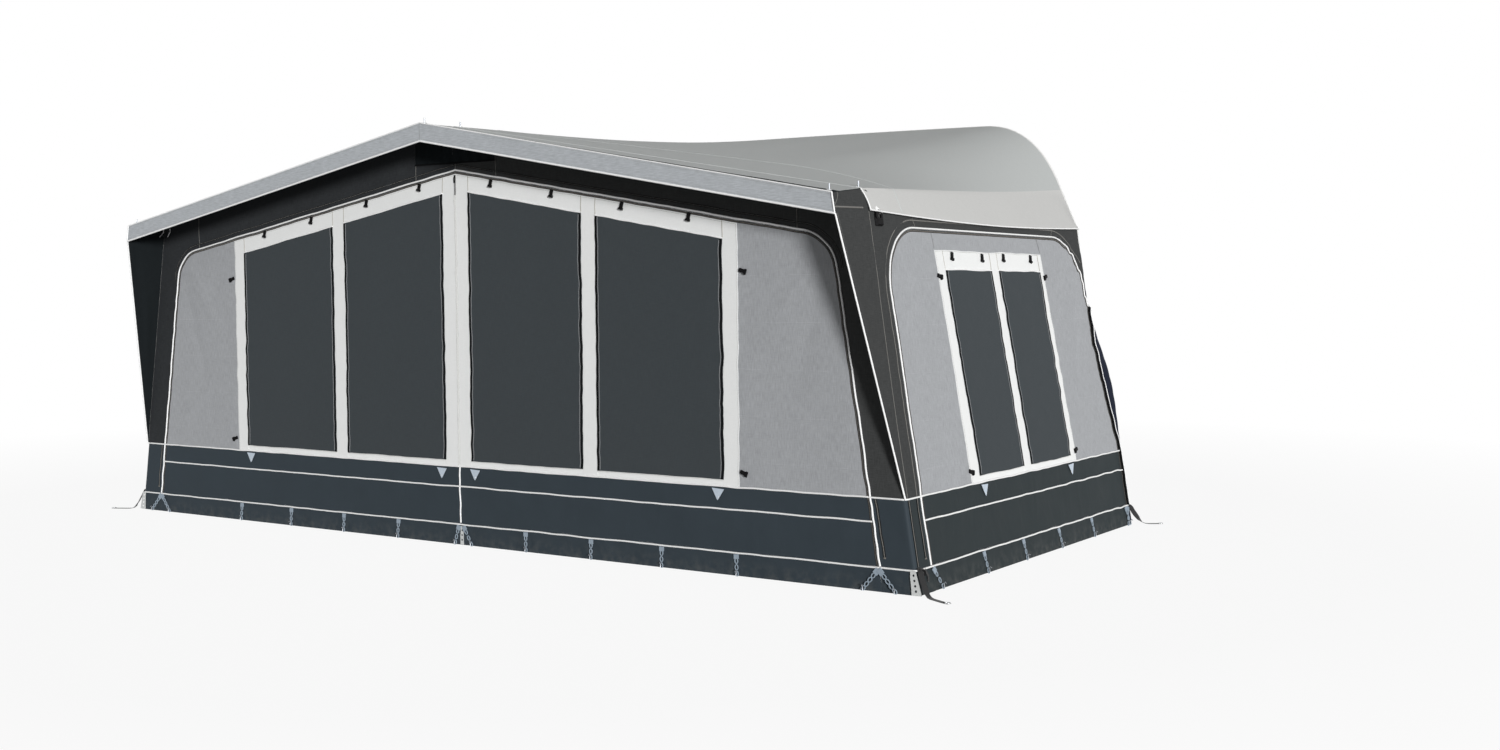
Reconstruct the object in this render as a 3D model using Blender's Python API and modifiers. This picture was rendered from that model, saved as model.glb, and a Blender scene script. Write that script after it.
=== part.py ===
"""Caravan awning: a full porch awning that hangs on a caravan's rail.

Metres, +Z up. The front wall faces -Y, the caravan stands at +Y, and the
ground is Z = 0. Everything is placed in the awning's own frame, in which the
front wall's outer face is the plane Y = 0, under one empty that puts the
middle of the whole awning at the origin. The pieces of the right-hand side
are built first, and the left-hand ones are their mirror twins.
"""
import math

import bmesh
import bpy
from mathutils import Matrix, Vector

# Driving dimensions of the tent
DEPTH = 2.70
OVERHANG = 0.26
GROUND_HALF_WIDTH = 2.87
EAVE_HALF_WIDTH = 2.565
EAVE_HEIGHT = 1.865
APEX_HEIGHT = 2.31
CANOPY_APEX_HEIGHT = 2.308
CANOPY_EAVE_HEIGHT = 1.835
FASCIA_HEIGHT = 0.097
FLAP_HEIGHT = 0.097
FLAP_STANDOFF = 0.014
ROOF_REAR_TRIM = 0.0009
FLAP_SAG = 0.03
ROOF_SAG = 0.035
SAG_LOSS_SHARE = 0.6
SAG_REARWARD_POWER = 1.3

# The caravan's rail: crown, level part, fold of the flap and the leg's points
RAIL_HEIGHT = 2.43
RAIL_CROWN = 0.015
RAIL_CORNER_SPAN = 0.51
RAIL_FOLD_INSET = 0.155
RAIL_FOLD_HEIGHT = 2.00
RAIL_LEVEL_SHARE = 0.74
RAIL_CURVE_SHARES = (0.47, 0.215, 0.65)
LEG_TOP_INSET = 0.052
LEG_TOP_HEIGHT = 1.761
LEG_KNEE_INSET = 0.011
LEG_KNEE_HEIGHT = 1.351
LEG_LOW_INSET = 0.082
LEG_LOW_HEIGHT = 0.442
BEAD_RADIUS = 0.004

# Cloth
SHEET = 0.003
BLIND_THICKNESS = 0.002
FOIL_THICKNESS = 0.001
TAPE_THICKNESS = 0.002
LADDER_THICKNESS = 0.0025
PAD_THICKNESS = 0.012
PAD_SEAT = 0.0022
GAP = 0.0003

# Walls: mud wall, skirt, zip lines and rounded corners
MUD_WALL_HEIGHT = 0.435
SKIRT_HEIGHT = 0.12
FRONT_ZIP_INSET = 0.19
SIDE_ZIP_INSET = 0.157
FRONT_PANEL_DROP = 0.245
FRONT_CORNER_RADIUS = 0.22
SIDE_PANEL_HEIGHT = 1.687
SIDE_FRONT_RADIUS = 0.30
SIDE_REAR_RADIUS = 0.38
SIDE_REAR_STRIP_HIGH = 0.20
SIDE_REAR_STRIP_LOW = 0.05
SIDE_KNEE_HIGH = 1.08
SIDE_KNEE_LOW = 0.44
SIDE_REAR_TAIL = 0.02
SIDE_HEADER_LAP = 0.015

# Windows, their blinds and the clear foils behind them
WINDOW_SILL_HEIGHT = 0.468
FRONT_FRAME_HEADER = 0.10
FRONT_CENTRE_STRIP = 0.095
FRONT_WINDOW_WIDTH = 0.80
FRONT_MULLION = 0.095
SIDE_WINDOW_HEIGHT = 1.495
SIDE_WINDOW_START = 0.735
SIDE_WINDOW_WIDTH = 0.53
SIDE_MULLION = 0.09
SIDE_WINDOW_LEAN = 0.045
BLIND_LAP = 0.012
FOIL_LAP = 0.02
WINDOWS_PER_PANEL = 2

# Pegging tape and its ladder straps
TAPE_TOP = 0.105
TAPE_WIDTH = 0.02
LADDER_WIDTH = 0.022
LADDER_LIFT = 0.003
LADDER_TUCK = 0.005
FRONT_LADDER_FIRST = 0.49
FRONT_LADDER_PITCH = 0.463
FRONT_LADDERS = 4
SIDE_LADDER_FIRST = 0.70
SIDE_LADDER_PITCH = 0.46
SIDE_LADDERS = 4
TAPE_END = 0.03

# Pole frame
FRAME_INSET = 0.045
BLOCK_SIZE = 0.046
CANOPY_BLOCK_SIZE = 0.036
BLOCK_CLEARANCE = 0.004
CORNER_CLEARANCE = 0.012
CANOPY_BLOCK_INSET = 0.035
POLE_RADIUS = 0.0125
CANOPY_POLE_RADIUS = 0.010
UPRIGHT_RADIUS = 0.015
UPRIGHT_BORE_RADIUS = 0.0128
UPRIGHT_BOTTOM = 0.90
LEG_RADIUS = 0.0125
LEG_OVERLAP = 0.40
COLLAR_RADIUS = 0.022
COLLAR_LENGTH = 0.05
FOOT_RADIUS = 0.030
FOOT_THICKNESS = 0.012
POLE_END_RADIUS = 0.022
POLE_END_THICKNESS = 0.012
RIDGE_END_DROP = 0.07
EAVE_END_INSET = 0.06
EAVE_END_DROP = 0.075
SPIGOT_RADIUS = 0.004
SPIGOT_RISE = 0.03
EYELET_RADIUS = 0.0045

# Clamp knobs and the front zip's slider
KNOB_RADIUS = 0.017
KNOB_THICKNESS = 0.012
KNOB_STEM_RADIUS = 0.006
KNOB_STEM_LENGTH = 0.014
SLIDER_WIDTH = 0.012
SLIDER_HEIGHT = 0.030
SLIDER_THICKNESS = 0.004
SLIDER_DROP = 0.02

# Storm straps at the four corners
STRAP_RADIUS = 0.004

# Mesh detail
ARC_STEPS = 10
ROUND_SIDES = 16
ROOF_COLUMNS = 16
FLAP_COLUMNS = 3
ROOF_ROW_SHARES = (0.0, 0.1, 0.22, 0.35, 0.48, 0.6, 0.72, 0.82)
ROUND_SMOOTH_ANGLE = math.radians(40)
CLOTH_SMOOTH_ANGLE = math.radians(35)
CUTTER_OVERRUN = 0.02
WELD = 0.00003

# Sizes that follow from the ones above
RAIL_FOLD_HALF_WIDTH = EAVE_HALF_WIDTH - RAIL_FOLD_INSET
RAIL_FLAT_HALF = RAIL_FOLD_HALF_WIDTH - RAIL_CORNER_SPAN
LEG_TOP_HALF_WIDTH = EAVE_HALF_WIDTH - LEG_TOP_INSET
LEG_KNEE_HALF_WIDTH = EAVE_HALF_WIDTH - LEG_KNEE_INSET
LEG_LOW_HALF_WIDTH = GROUND_HALF_WIDTH - LEG_LOW_INSET
SIDE_DEPTH_HIGH = DEPTH - SIDE_REAR_STRIP_HIGH
SIDE_DEPTH_LOW = DEPTH - SIDE_REAR_STRIP_LOW
SIDE_LEAN = (GROUND_HALF_WIDTH - EAVE_HALF_WIDTH) / EAVE_HEIGHT
SIDE_ANGLE = math.atan(SIDE_LEAN)
ROOF_FALL = (APEX_HEIGHT - EAVE_HEIGHT) / EAVE_HALF_WIDTH
CANOPY_FALL = (CANOPY_APEX_HEIGHT - CANOPY_EAVE_HEIGHT) / EAVE_HALF_WIDTH
ROOF_ANGLE = math.atan(ROOF_FALL)
CANOPY_ANGLE = math.atan(CANOPY_FALL)
SHEET_ACROSS = SHEET / math.cos(SIDE_ANGLE)
FLOOR_LIFT = SHEET * math.sin(SIDE_ANGLE)
BEND_START = SIDE_DEPTH_HIGH + SIDE_REAR_TAIL + PAD_SEAT
REAR_FACE = DEPTH + GAP + 2 * BEAD_RADIUS
FRONT_FACE = -OVERHANG - GAP - SHEET
MIDDLE_Y = (REAR_FACE + FRONT_FACE) / 2

COLOURS = {
    "roof": ((0.42, 0.42, 0.41), 0.85, 0.0),
    "fascia": ((0.37, 0.38, 0.39), 0.85, 0.0),
    "charcoal": ((0.055, 0.055, 0.052), 0.85, 0.0),
    "canopy": ((0.035, 0.036, 0.038), 0.85, 0.0),
    "panel": ((0.38, 0.38, 0.38), 0.8, 0.0),
    "blind": ((0.055, 0.062, 0.067), 0.7, 0.0),
    "foil": ((0.55, 0.58, 0.60), 0.15, 0.0),
    "mud_wall": ((0.04, 0.05, 0.06), 0.45, 0.0),
    "pad": ((0.03, 0.035, 0.05), 0.8, 0.0),
    "bead": ((0.8, 0.8, 0.79), 0.6, 0.0),
    "steel": ((0.62, 0.63, 0.64), 0.35, 1.0),
    "plastic": ((0.02, 0.02, 0.02), 0.45, 0.0),
    "strap": ((0.015, 0.015, 0.016), 0.8, 0.0),
}


def clear_scene():
    """Remove whatever the opened scene holds."""
    for old in list(bpy.data.objects):
        bpy.data.objects.remove(old, do_unlink=True)


clear_scene()
parts = bpy.data.collections.new("caravan_awning")
bpy.context.scene.collection.children.link(parts)
awning = bpy.data.objects.new("awning_middle", None)
parts.objects.link(awning)
awning.location = (0.0, -MIDDLE_Y, 0.0)


# Surfaces of the tent

def roof_height(x):
    """Height of the roof over the front wall, at x."""
    return APEX_HEIGHT - ROOF_FALL * abs(x)


def canopy_height(x, y):
    """Height of the overhang's top at x and y, with y from -OVERHANG to 0."""
    share = -y / OVERHANG
    return roof_height(x) * (1 - share) + (CANOPY_APEX_HEIGHT - CANOPY_FALL * abs(x)) * share


def side_x(z):
    """The side wall's outer face at height z."""
    return GROUND_HALF_WIDTH - SIDE_LEAN * z


def zip_x(z):
    """The front panel's outer zip at height z."""
    return side_x(z) - FRONT_ZIP_INSET


def flap_bottom(share):
    """Height of the roof flap's lower edge, at a share of the depth."""
    start = EAVE_HEIGHT - FLAP_HEIGHT
    return start + (LEG_TOP_HEIGHT - start) * share - FLAP_SAG * math.sin(math.pi * share)


def front_plane(offset):
    """Matrix that lays a flat outline (x, z) on the front wall, offset forwards."""
    return Matrix(((1, 0, 0, 0), (0, 0, -1, -offset), (0, 1, 0, 0), (0, 0, 0, 1)))


def side_plane(offset):
    """Matrix that lays a flat outline (y, length up the wall) on the right side wall."""
    sine = math.sin(SIDE_ANGLE)
    cosine = math.cos(SIDE_ANGLE)
    return Matrix(((0, -sine, cosine, GROUND_HALF_WIDTH + cosine * offset),
                   (1, 0, 0, 0),
                   (0, cosine, sine, sine * offset),
                   (0, 0, 0, 1)))


def up_the_side(outline):
    """Turn (y, height) points into (y, length up the wall) points."""
    return [(y, z / math.cos(SIDE_ANGLE)) for y, z in outline]


def fillet(before, corner, after, radius):
    """Points of an arc of the given radius that rounds one corner of an outline."""
    corner = Vector(corner)
    inward = (Vector(before) - corner).normalized()
    outward = (Vector(after) - corner).normalized()
    half = inward.angle(outward) / 2
    centre = corner + (inward + outward).normalized() * radius / math.sin(half)
    start = corner + inward * radius / math.tan(half) - centre
    end = corner + outward * radius / math.tan(half) - centre
    turn = start.angle_signed(end)
    points = []
    for step in range(ARC_STEPS + 1):
        angle = -turn * step / ARC_STEPS
        arm = Matrix.Rotation(angle, 2) @ start
        points.append(tuple(centre + arm))
    return points


# Objects

def material(name):
    """The Principled material of one finish, made once."""
    found = bpy.data.materials.get(name)
    if found:
        return found
    colour, roughness, metallic = COLOURS[name]
    made = bpy.data.materials.new(name)
    made.use_nodes = True
    shader = made.node_tree.nodes["Principled BSDF"]
    shader.inputs["Base Color"].default_value = (*colour, 1.0)
    shader.inputs["Roughness"].default_value = roughness
    shader.inputs["Metallic"].default_value = metallic
    made.diffuse_color = (*colour, 1.0)
    return made


def place(name, mesh, finish, origin=(0, 0, 0)):
    """Make one part from a mesh in the awning's frame, with its origin at a point."""
    mesh.name = name
    mesh.transform(Matrix.Translation(-Vector(origin)))
    mesh.materials.clear()
    mesh.materials.append(material(finish))
    part = bpy.data.objects.new(name, mesh)
    parts.objects.link(part)
    part.parent = awning
    part.location = origin
    return part


def twin(part, name):
    """The mirror twin of a right-hand part, on the left."""
    mesh = part.data.copy()
    mesh.transform(Matrix.Scale(-1, 4, (1, 0, 0)))
    mesh.flip_normals()
    mesh.name = name
    copy = bpy.data.objects.new(name, mesh)
    parts.objects.link(copy)
    copy.parent = awning
    copy.location = (-part.location.x, part.location.y, part.location.z)
    return copy


def evaluated_mesh(source):
    """Mesh of an object with its modifiers applied, welded, with the object removed."""
    bpy.context.view_layer.update()
    graph = bpy.context.evaluated_depsgraph_get()
    mesh = bpy.data.meshes.new_from_object(source.evaluated_get(graph))
    mesh.transform(source.matrix_world)
    bpy.data.objects.remove(source, do_unlink=True)
    work = bmesh.new()
    work.from_mesh(mesh)
    bmesh.ops.remove_doubles(work, verts=work.verts, dist=WELD)
    bmesh.ops.recalc_face_normals(work, faces=work.faces)
    work.to_mesh(mesh)
    work.free()
    return mesh


def loose(name, data):
    """A helper object in the scene, which evaluated_mesh takes away again."""
    helper = bpy.data.objects.new(name, data)
    bpy.context.scene.collection.objects.link(helper)
    return helper


def combine(first, second, operation):
    """Boolean of two meshes, by the exact solver."""
    body = loose("body", first)
    tool = loose("tool", second)
    modifier = body.modifiers.new("combine", "BOOLEAN")
    modifier.operation = operation
    modifier.object = tool
    mesh = evaluated_mesh(body)
    bpy.data.objects.remove(tool, do_unlink=True)
    return mesh


def plate(outlines, thickness, plane):
    """A flat plate from an outline and its holes, centred on the plane's face."""
    curve = bpy.data.curves.new("outline", "CURVE")
    curve.dimensions = "2D"
    curve.fill_mode = "BOTH"
    curve.extrude = thickness / 2
    for outline in outlines:
        spline = curve.splines.new("POLY")
        spline.points.add(len(outline) - 1)
        for point, (across, up) in zip(spline.points, outline):
            point.co = (across, up, 0.0, 1.0)
        spline.use_cyclic_u = True
    helper = loose("plate", curve)
    helper.matrix_world = plane
    return evaluated_mesh(helper)


def front_plate(outlines, thickness=SHEET, face=0.0):
    """A plate on the front wall whose outer face stands face in front of it."""
    return plate(outlines, thickness, front_plane(face - thickness / 2))


def side_plate(outlines, thickness=SHEET, face=0.0):
    """A plate on the right side wall whose outer face stands face outside it."""
    lifted = [up_the_side(outline) for outline in outlines]
    return plate(lifted, thickness, side_plane(face - thickness / 2))


def cylinder(start, end, radius):
    """A closed cylinder between two points."""
    start = Vector(start)
    end = Vector(end)
    axis = end - start
    work = bmesh.new()
    bmesh.ops.create_cone(work, cap_ends=True, segments=ROUND_SIDES, radius1=radius,
                          radius2=radius, depth=axis.length)
    turn = axis.to_track_quat("Z", "Y").to_matrix().to_4x4()
    bmesh.ops.transform(work, verts=work.verts,
                        matrix=Matrix.Translation((start + end) / 2) @ turn)
    mesh = bpy.data.meshes.new("cylinder")
    work.to_mesh(mesh)
    work.free()
    mesh.shade_smooth()
    mesh.set_sharp_from_angle(angle=ROUND_SMOOTH_ANGLE)
    return mesh


def box(centre, size):
    """A closed box about a centre, with its three sizes."""
    work = bmesh.new()
    bmesh.ops.create_cube(work, size=1.0)
    bmesh.ops.scale(work, verts=work.verts, vec=size)
    bmesh.ops.translate(work, verts=work.verts, vec=centre)
    mesh = bpy.data.meshes.new("box")
    work.to_mesh(mesh)
    work.free()
    return mesh


def turned(profile, top, axis):
    """A turned ring: (radius, distance down the axis) points, spun about an axis from top."""
    mesh = bpy.data.meshes.new("profile")
    count = len(profile)
    corners = [(radius, 0.0, -down) for radius, down in profile]
    edges = [(index, (index + 1) % count) for index in range(count)]
    mesh.from_pydata(corners, edges, [])
    helper = loose("turned", mesh)
    screw = helper.modifiers.new("spin", "SCREW")
    screw.steps = ROUND_SIDES
    screw.render_steps = ROUND_SIDES
    screw.use_merge_vertices = True
    screw.merge_threshold = WELD
    turn = (-Vector(axis)).to_track_quat("Z", "Y").to_matrix().to_4x4()
    helper.matrix_world = Matrix.Translation(top) @ turn
    mesh = evaluated_mesh(helper)
    mesh.shade_smooth()
    mesh.set_sharp_from_angle(angle=ROUND_SMOOTH_ANGLE)
    return mesh


def sheet_from_rows(rows, thickness):
    """A cloth sheet from rows of points; the thickness grows to the side away from the normal."""
    width = len(rows[0])
    points = [point for row in rows for point in row]
    faces = []
    for row in range(len(rows) - 1):
        for column in range(width - 1):
            corner = row * width + column
            faces.append((corner, corner + 1, corner + width + 1, corner + width))
    mesh = bpy.data.meshes.new("sheet")
    mesh.from_pydata(points, [], faces)
    helper = loose("sheet", mesh)
    solid = helper.modifiers.new("thickness", "SOLIDIFY")
    solid.thickness = thickness
    solid.offset = -1.0
    return evaluated_mesh(helper)


# Roof sheet, bead, canopy and fascia

def rail_corner(share):
    """Point (x, z) on the rail's rounded corner, from the level part to the flap's fold."""
    level = RAIL_HEIGHT - RAIL_CROWN
    drop = level - RAIL_FOLD_HEIGHT
    start = Vector((RAIL_FLAT_HALF, level))
    end = Vector((RAIL_FOLD_HALF_WIDTH, RAIL_FOLD_HEIGHT))
    first = start + Vector((RAIL_CORNER_SPAN * RAIL_CURVE_SHARES[0], 0.0))
    second = end + Vector((-RAIL_CORNER_SPAN * RAIL_CURVE_SHARES[1], drop * RAIL_CURVE_SHARES[2]))
    rest = 1 - share
    return (rest ** 3 * start + 3 * rest ** 2 * share * first
            + 3 * rest * share ** 2 * second + share ** 3 * end)


def rail_profile(share):
    """Point (x, z) of the rail between its middle (0) and the flap's fold (1)."""
    if share < RAIL_LEVEL_SHARE:
        along = share / RAIL_LEVEL_SHARE
        return Vector((RAIL_FLAT_HALF * along, RAIL_HEIGHT - RAIL_CROWN * along ** 2))
    return rail_corner((share - RAIL_LEVEL_SHARE) / (1 - RAIL_LEVEL_SHARE))


def leg_x(z):
    """Half width of the rail's leg at height z, down the caravan's side."""
    points = ((GROUND_HALF_WIDTH, 0.0), (LEG_LOW_HALF_WIDTH, LEG_LOW_HEIGHT),
              (LEG_KNEE_HALF_WIDTH, LEG_KNEE_HEIGHT), (LEG_TOP_HALF_WIDTH, LEG_TOP_HEIGHT))
    for (low_x, low_z), (high_x, high_z) in zip(points, points[1:]):
        if z <= high_z:
            return low_x + (high_x - low_x) * (z - low_z) / (high_z - low_z)
    return LEG_TOP_HALF_WIDTH


def roof_row(y):
    """Points of the roof's right half at one depth, from the ridge to the flap's edge."""
    share = y / DEPTH
    bend = max(0.0, (y - BEND_START) / (DEPTH - BEND_START))
    row = []
    for column in range(ROOF_COLUMNS + 1):
        across = math.sin(math.pi / 2 * column / ROOF_COLUMNS)
        front = Vector((EAVE_HALF_WIDTH * across, roof_height(EAVE_HALF_WIDTH * across)))
        point = front.lerp(rail_profile(across), share)
        sag = ROOF_SAG * (1 - SAG_LOSS_SHARE * across)
        point.y -= sag * math.sin(math.pi * share ** SAG_REARWARD_POWER)
        row.append(point)
    fold = row[-1]
    bottom = flap_bottom(share)
    edge_x = side_x(bottom) + FLAP_STANDOFF
    edge = Vector((edge_x + (LEG_TOP_HALF_WIDTH - edge_x) * bend, bottom))
    for column in range(FLAP_COLUMNS):
        row.append(fold.lerp(edge, (column + 1) / FLAP_COLUMNS))
    return row


def make_roof():
    """The roof sheet with its two side flaps and three eyelets."""
    depths = [share * DEPTH for share in ROOF_ROW_SHARES] + [BEND_START, DEPTH - ROOF_REAR_TRIM]
    rows = []
    for y in depths:
        half = roof_row(y)
        left = [(-point.x, y, point.y) for point in reversed(half[1:])]
        right = [(point.x, y, point.y) for point in half]
        rows.append(left + right)
    mesh = sheet_from_rows(rows, SHEET)
    for x in (-CORNER_BLOCK_X, 0.0, CORNER_BLOCK_X):
        top = roof_height(x)
        hole = cylinder((x, FRAME_INSET, top - CUTTER_OVERRUN),
                        (x, FRAME_INSET, top + CUTTER_OVERRUN), EYELET_RADIUS)
        mesh = combine(mesh, hole, "DIFFERENCE")
    mesh.shade_smooth()
    mesh.set_sharp_from_angle(angle=CLOTH_SMOOTH_ANGLE)
    place("roof_sheet", mesh, "roof")


def make_bead():
    """The keder bead that slides into the caravan's rail, from ground to ground."""
    y = DEPTH + GAP + BEAD_RADIUS
    heights = (SKIRT_HEIGHT, LEG_LOW_HEIGHT, LEG_KNEE_HEIGHT, LEG_TOP_HEIGHT)
    half = [(leg_x(z), z) for z in heights]
    half += [tuple(rail_corner(step / ARC_STEPS)) for step in range(ARC_STEPS, -1, -1)]
    half.append((0.0, RAIL_HEIGHT))
    path = half + [(-x, z) for x, z in reversed(half[:-1])]
    curve = bpy.data.curves.new("bead", "CURVE")
    curve.dimensions = "3D"
    curve.bevel_depth = BEAD_RADIUS
    curve.bevel_resolution = 1
    curve.use_fill_caps = True
    spline = curve.splines.new("POLY")
    spline.points.add(len(path) - 1)
    for point, (x, z) in zip(spline.points, path):
        point.co = (x, y, z - BEAD_RADIUS, 1.0)
    place("rail_bead", evaluated_mesh(loose("bead", curve)), "bead")


def make_canopy():
    """The overhang's top sheet, with an eyelet at its apex and one at each end."""
    rows = []
    for y in (-OVERHANG, -GAP):
        ends = side_x(canopy_height(EAVE_HALF_WIDTH, y)) + SHEET
        rows.append([(x, y, canopy_height(x, y)) for x in (-ends, 0.0, ends)])
    mesh = sheet_from_rows(rows, SHEET)
    y = CANOPY_BLOCK_INSET - OVERHANG
    for x in (-CANOPY_CORNER_X, 0.0, CANOPY_CORNER_X):
        top = canopy_height(x, y)
        hole = cylinder((x, y, top - CUTTER_OVERRUN), (x, y, top + CUTTER_OVERRUN), EYELET_RADIUS)
        mesh = combine(mesh, hole, "DIFFERENCE")
    place("canopy_sheet", mesh, "canopy")


def make_fascia():
    """The gabled strip that hangs from the canopy's front edge."""
    top_x = side_x(CANOPY_EAVE_HEIGHT)
    low = CANOPY_EAVE_HEIGHT - FASCIA_HEIGHT
    half = [(0.0, CANOPY_APEX_HEIGHT), (top_x, CANOPY_APEX_HEIGHT - CANOPY_FALL * top_x),
            (side_x(low), low), (0.0, CANOPY_APEX_HEIGHT - FASCIA_HEIGHT)]
    left = [(-x, z) for x, z in reversed(half[1:-1])]
    place("fascia", front_plate([half + left], face=OVERHANG + GAP + SHEET), "fascia")


# Walls

def make_wings():
    """The triangular side wings under the ends of the overhang."""
    low = CANOPY_EAVE_HEIGHT - FASCIA_HEIGHT
    under = SHEET / math.cos(CANOPY_ANGLE) + 2 * GAP
    front_top = canopy_height(side_x(CANOPY_EAVE_HEIGHT), -OVERHANG) - under
    rear_top = canopy_height(side_x(EAVE_HEIGHT), 0.0) - under
    outline = [(-OVERHANG, low), (-OVERHANG, front_top), (-GAP, rear_top), (-GAP, MUD_WALL_HEIGHT)]
    right = place("wing_right", side_plate([outline]), "charcoal")
    twin(right, "wing_left")


def front_zip_line(offset):
    """Outline points of the front zip, from the skirt up and in to the middle, moved outwards."""
    low = SKIRT_HEIGHT + GAP
    across = FRONT_ZIP_INSET - offset / math.cos(SIDE_ANGLE)
    drop = FRONT_PANEL_DROP - offset / math.cos(ROOF_ANGLE)
    bottom = (side_x(low) - across, low)
    corner_x = ((GROUND_HALF_WIDTH - across - SIDE_LEAN * (APEX_HEIGHT - drop))
                / (1 - SIDE_LEAN * ROOF_FALL))
    corner = (corner_x, APEX_HEIGHT - drop - ROOF_FALL * corner_x)
    middle = (GAP / 2, APEX_HEIGHT - drop - ROOF_FALL * GAP / 2)
    return [bottom] + fillet(bottom, corner, middle, FRONT_CORNER_RADIUS + offset) + [middle]


def front_windows(margin):
    """Outlines of the two windows of the right front panel, grown by a margin."""
    outlines = []
    for index in range(WINDOWS_PER_PANEL):
        left = FRONT_CENTRE_STRIP + index * (FRONT_WINDOW_WIDTH + FRONT_MULLION) - margin
        right = left + FRONT_WINDOW_WIDTH + 2 * margin
        top = APEX_HEIGHT - FRONT_PANEL_DROP - FRONT_FRAME_HEADER + margin
        low = WINDOW_SILL_HEIGHT - margin
        outlines.append([(left, low), (right, low), (right, top - ROOF_FALL * right),
                         (left, top - ROOF_FALL * left)])
    return outlines


def make_front_panels():
    """Each half of the front: a zip-out panel, its clear foil and its two blinds."""
    pivot = (zip_x(SKIRT_HEIGHT), 0.0, SKIRT_HEIGHT)
    holes = front_windows(-BLIND_LAP)
    edge = front_zip_line(0.0)
    outline = [(GAP / 2, SKIRT_HEIGHT + GAP)] + edge
    panel = place("front_panel_right", front_plate([outline] + holes), "panel", pivot)
    twin(panel, "front_panel_left")
    near, far = front_windows(-BLIND_LAP + FOIL_LAP)
    foil_outline = [near[0], far[1], far[2], near[3]]
    foil = place("front_foil_right", front_plate([foil_outline], FOIL_THICKNESS, -SHEET - GAP),
                 "foil", pivot)
    twin(foil, "front_foil_left")
    for number, window in zip(("inner", "outer"), front_windows(0.0)):
        face = GAP + BLIND_THICKNESS
        hinge = (window[3][0], -face, window[3][1])
        blind = place(f"front_blind_{number}_right", front_plate([window], BLIND_THICKNESS, face),
                      "blind", hinge)
        twin(blind, f"front_blind_{number}_left")


def make_front_surround():
    """The dark cloth round the front panels: header and corner strips, cut for the canopy arms."""
    low = MUD_WALL_HEIGHT + GAP
    drop = SHEET + 2 * GAP
    inside = SHEET_ACROSS + GAP
    corner_x = ((GROUND_HALF_WIDTH - inside - SIDE_LEAN * (APEX_HEIGHT - drop))
                / (1 - SIDE_LEAN * ROOF_FALL))
    edge = [point for point in front_zip_line(GAP) if point[1] > low]
    start = (zip_x(low) + GAP, low)
    outline = [start] + edge
    outline += [(GAP / 2, APEX_HEIGHT - drop),
                (corner_x, APEX_HEIGHT - drop - ROOF_FALL * corner_x),
                (side_x(low) - inside, low)]
    mesh = front_plate([outline])
    for start, end in (CENTRE_ARM, CORNER_ARM):
        hole = cylinder(start, end, CANOPY_POLE_RADIUS + GAP)
        mesh = combine(mesh, hole, "DIFFERENCE")
    right = place("front_surround_right", mesh, "charcoal")
    twin(right, "front_surround_left")


def side_rear_line(offset):
    """The side panel's rear edge from its knees down to the skirt, moved outwards."""
    low = SKIRT_HEIGHT + GAP
    return [(SIDE_DEPTH_HIGH + offset, SIDE_KNEE_HIGH), (SIDE_DEPTH_LOW + offset, SIDE_KNEE_LOW),
            (SIDE_DEPTH_LOW + offset, low)]


def side_zip_line(offset):
    """Outline points of the side zip, from the front skirt over the top to the rear skirt."""
    low = SKIRT_HEIGHT + GAP
    front = SIDE_ZIP_INSET - offset
    top = SIDE_PANEL_HEIGHT + offset
    rear = SIDE_DEPTH_HIGH + offset
    knee = (rear, SIDE_KNEE_HIGH)
    points = [(front, low)]
    points += fillet((front, low), (front, top), (rear, top), SIDE_FRONT_RADIUS + offset)
    points += fillet((front, top), (rear, top), knee, SIDE_REAR_RADIUS + offset)
    return points + side_rear_line(offset)


def side_windows(margin):
    """Outlines of the two windows of the right side panel, grown by a margin."""
    outlines = []
    for index in range(WINDOWS_PER_PANEL):
        near = SIDE_WINDOW_START + index * (SIDE_WINDOW_WIDTH + SIDE_MULLION) - margin
        far = near + SIDE_WINDOW_WIDTH + 2 * margin
        top = SIDE_WINDOW_HEIGHT + margin
        low = WINDOW_SILL_HEIGHT - margin
        outlines.append([(near + SIDE_WINDOW_LEAN, low), (far + SIDE_WINDOW_LEAN, low),
                         (far, top), (near, top)])
    return outlines


def make_side_panels():
    """Each side: a zip-out panel, its clear foil and its two blinds."""
    pivot = (side_x(SKIRT_HEIGHT), SIDE_ZIP_INSET, SKIRT_HEIGHT)
    mesh = side_plate([side_zip_line(0.0)] + side_windows(-BLIND_LAP))
    twin(place("side_panel_right", mesh, "panel", pivot), "side_panel_left")
    near, far = side_windows(-BLIND_LAP + FOIL_LAP)
    foil = side_plate([[near[0], far[1], far[2], near[3]]], FOIL_THICKNESS, -SHEET - GAP)
    twin(place("side_foil_right", foil, "foil", pivot), "side_foil_left")
    for number, window in zip(("front", "rear"), side_windows(0.0)):
        face = GAP + BLIND_THICKNESS
        top = SIDE_WINDOW_HEIGHT
        hinge = (side_x(top) + face * math.cos(SIDE_ANGLE), window[3][0],
                 top + face * math.sin(SIDE_ANGLE))
        blind = place(f"side_blind_{number}_right", side_plate([window], BLIND_THICKNESS, face),
                      "blind", hinge)
        twin(blind, f"side_blind_{number}_left")


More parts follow.
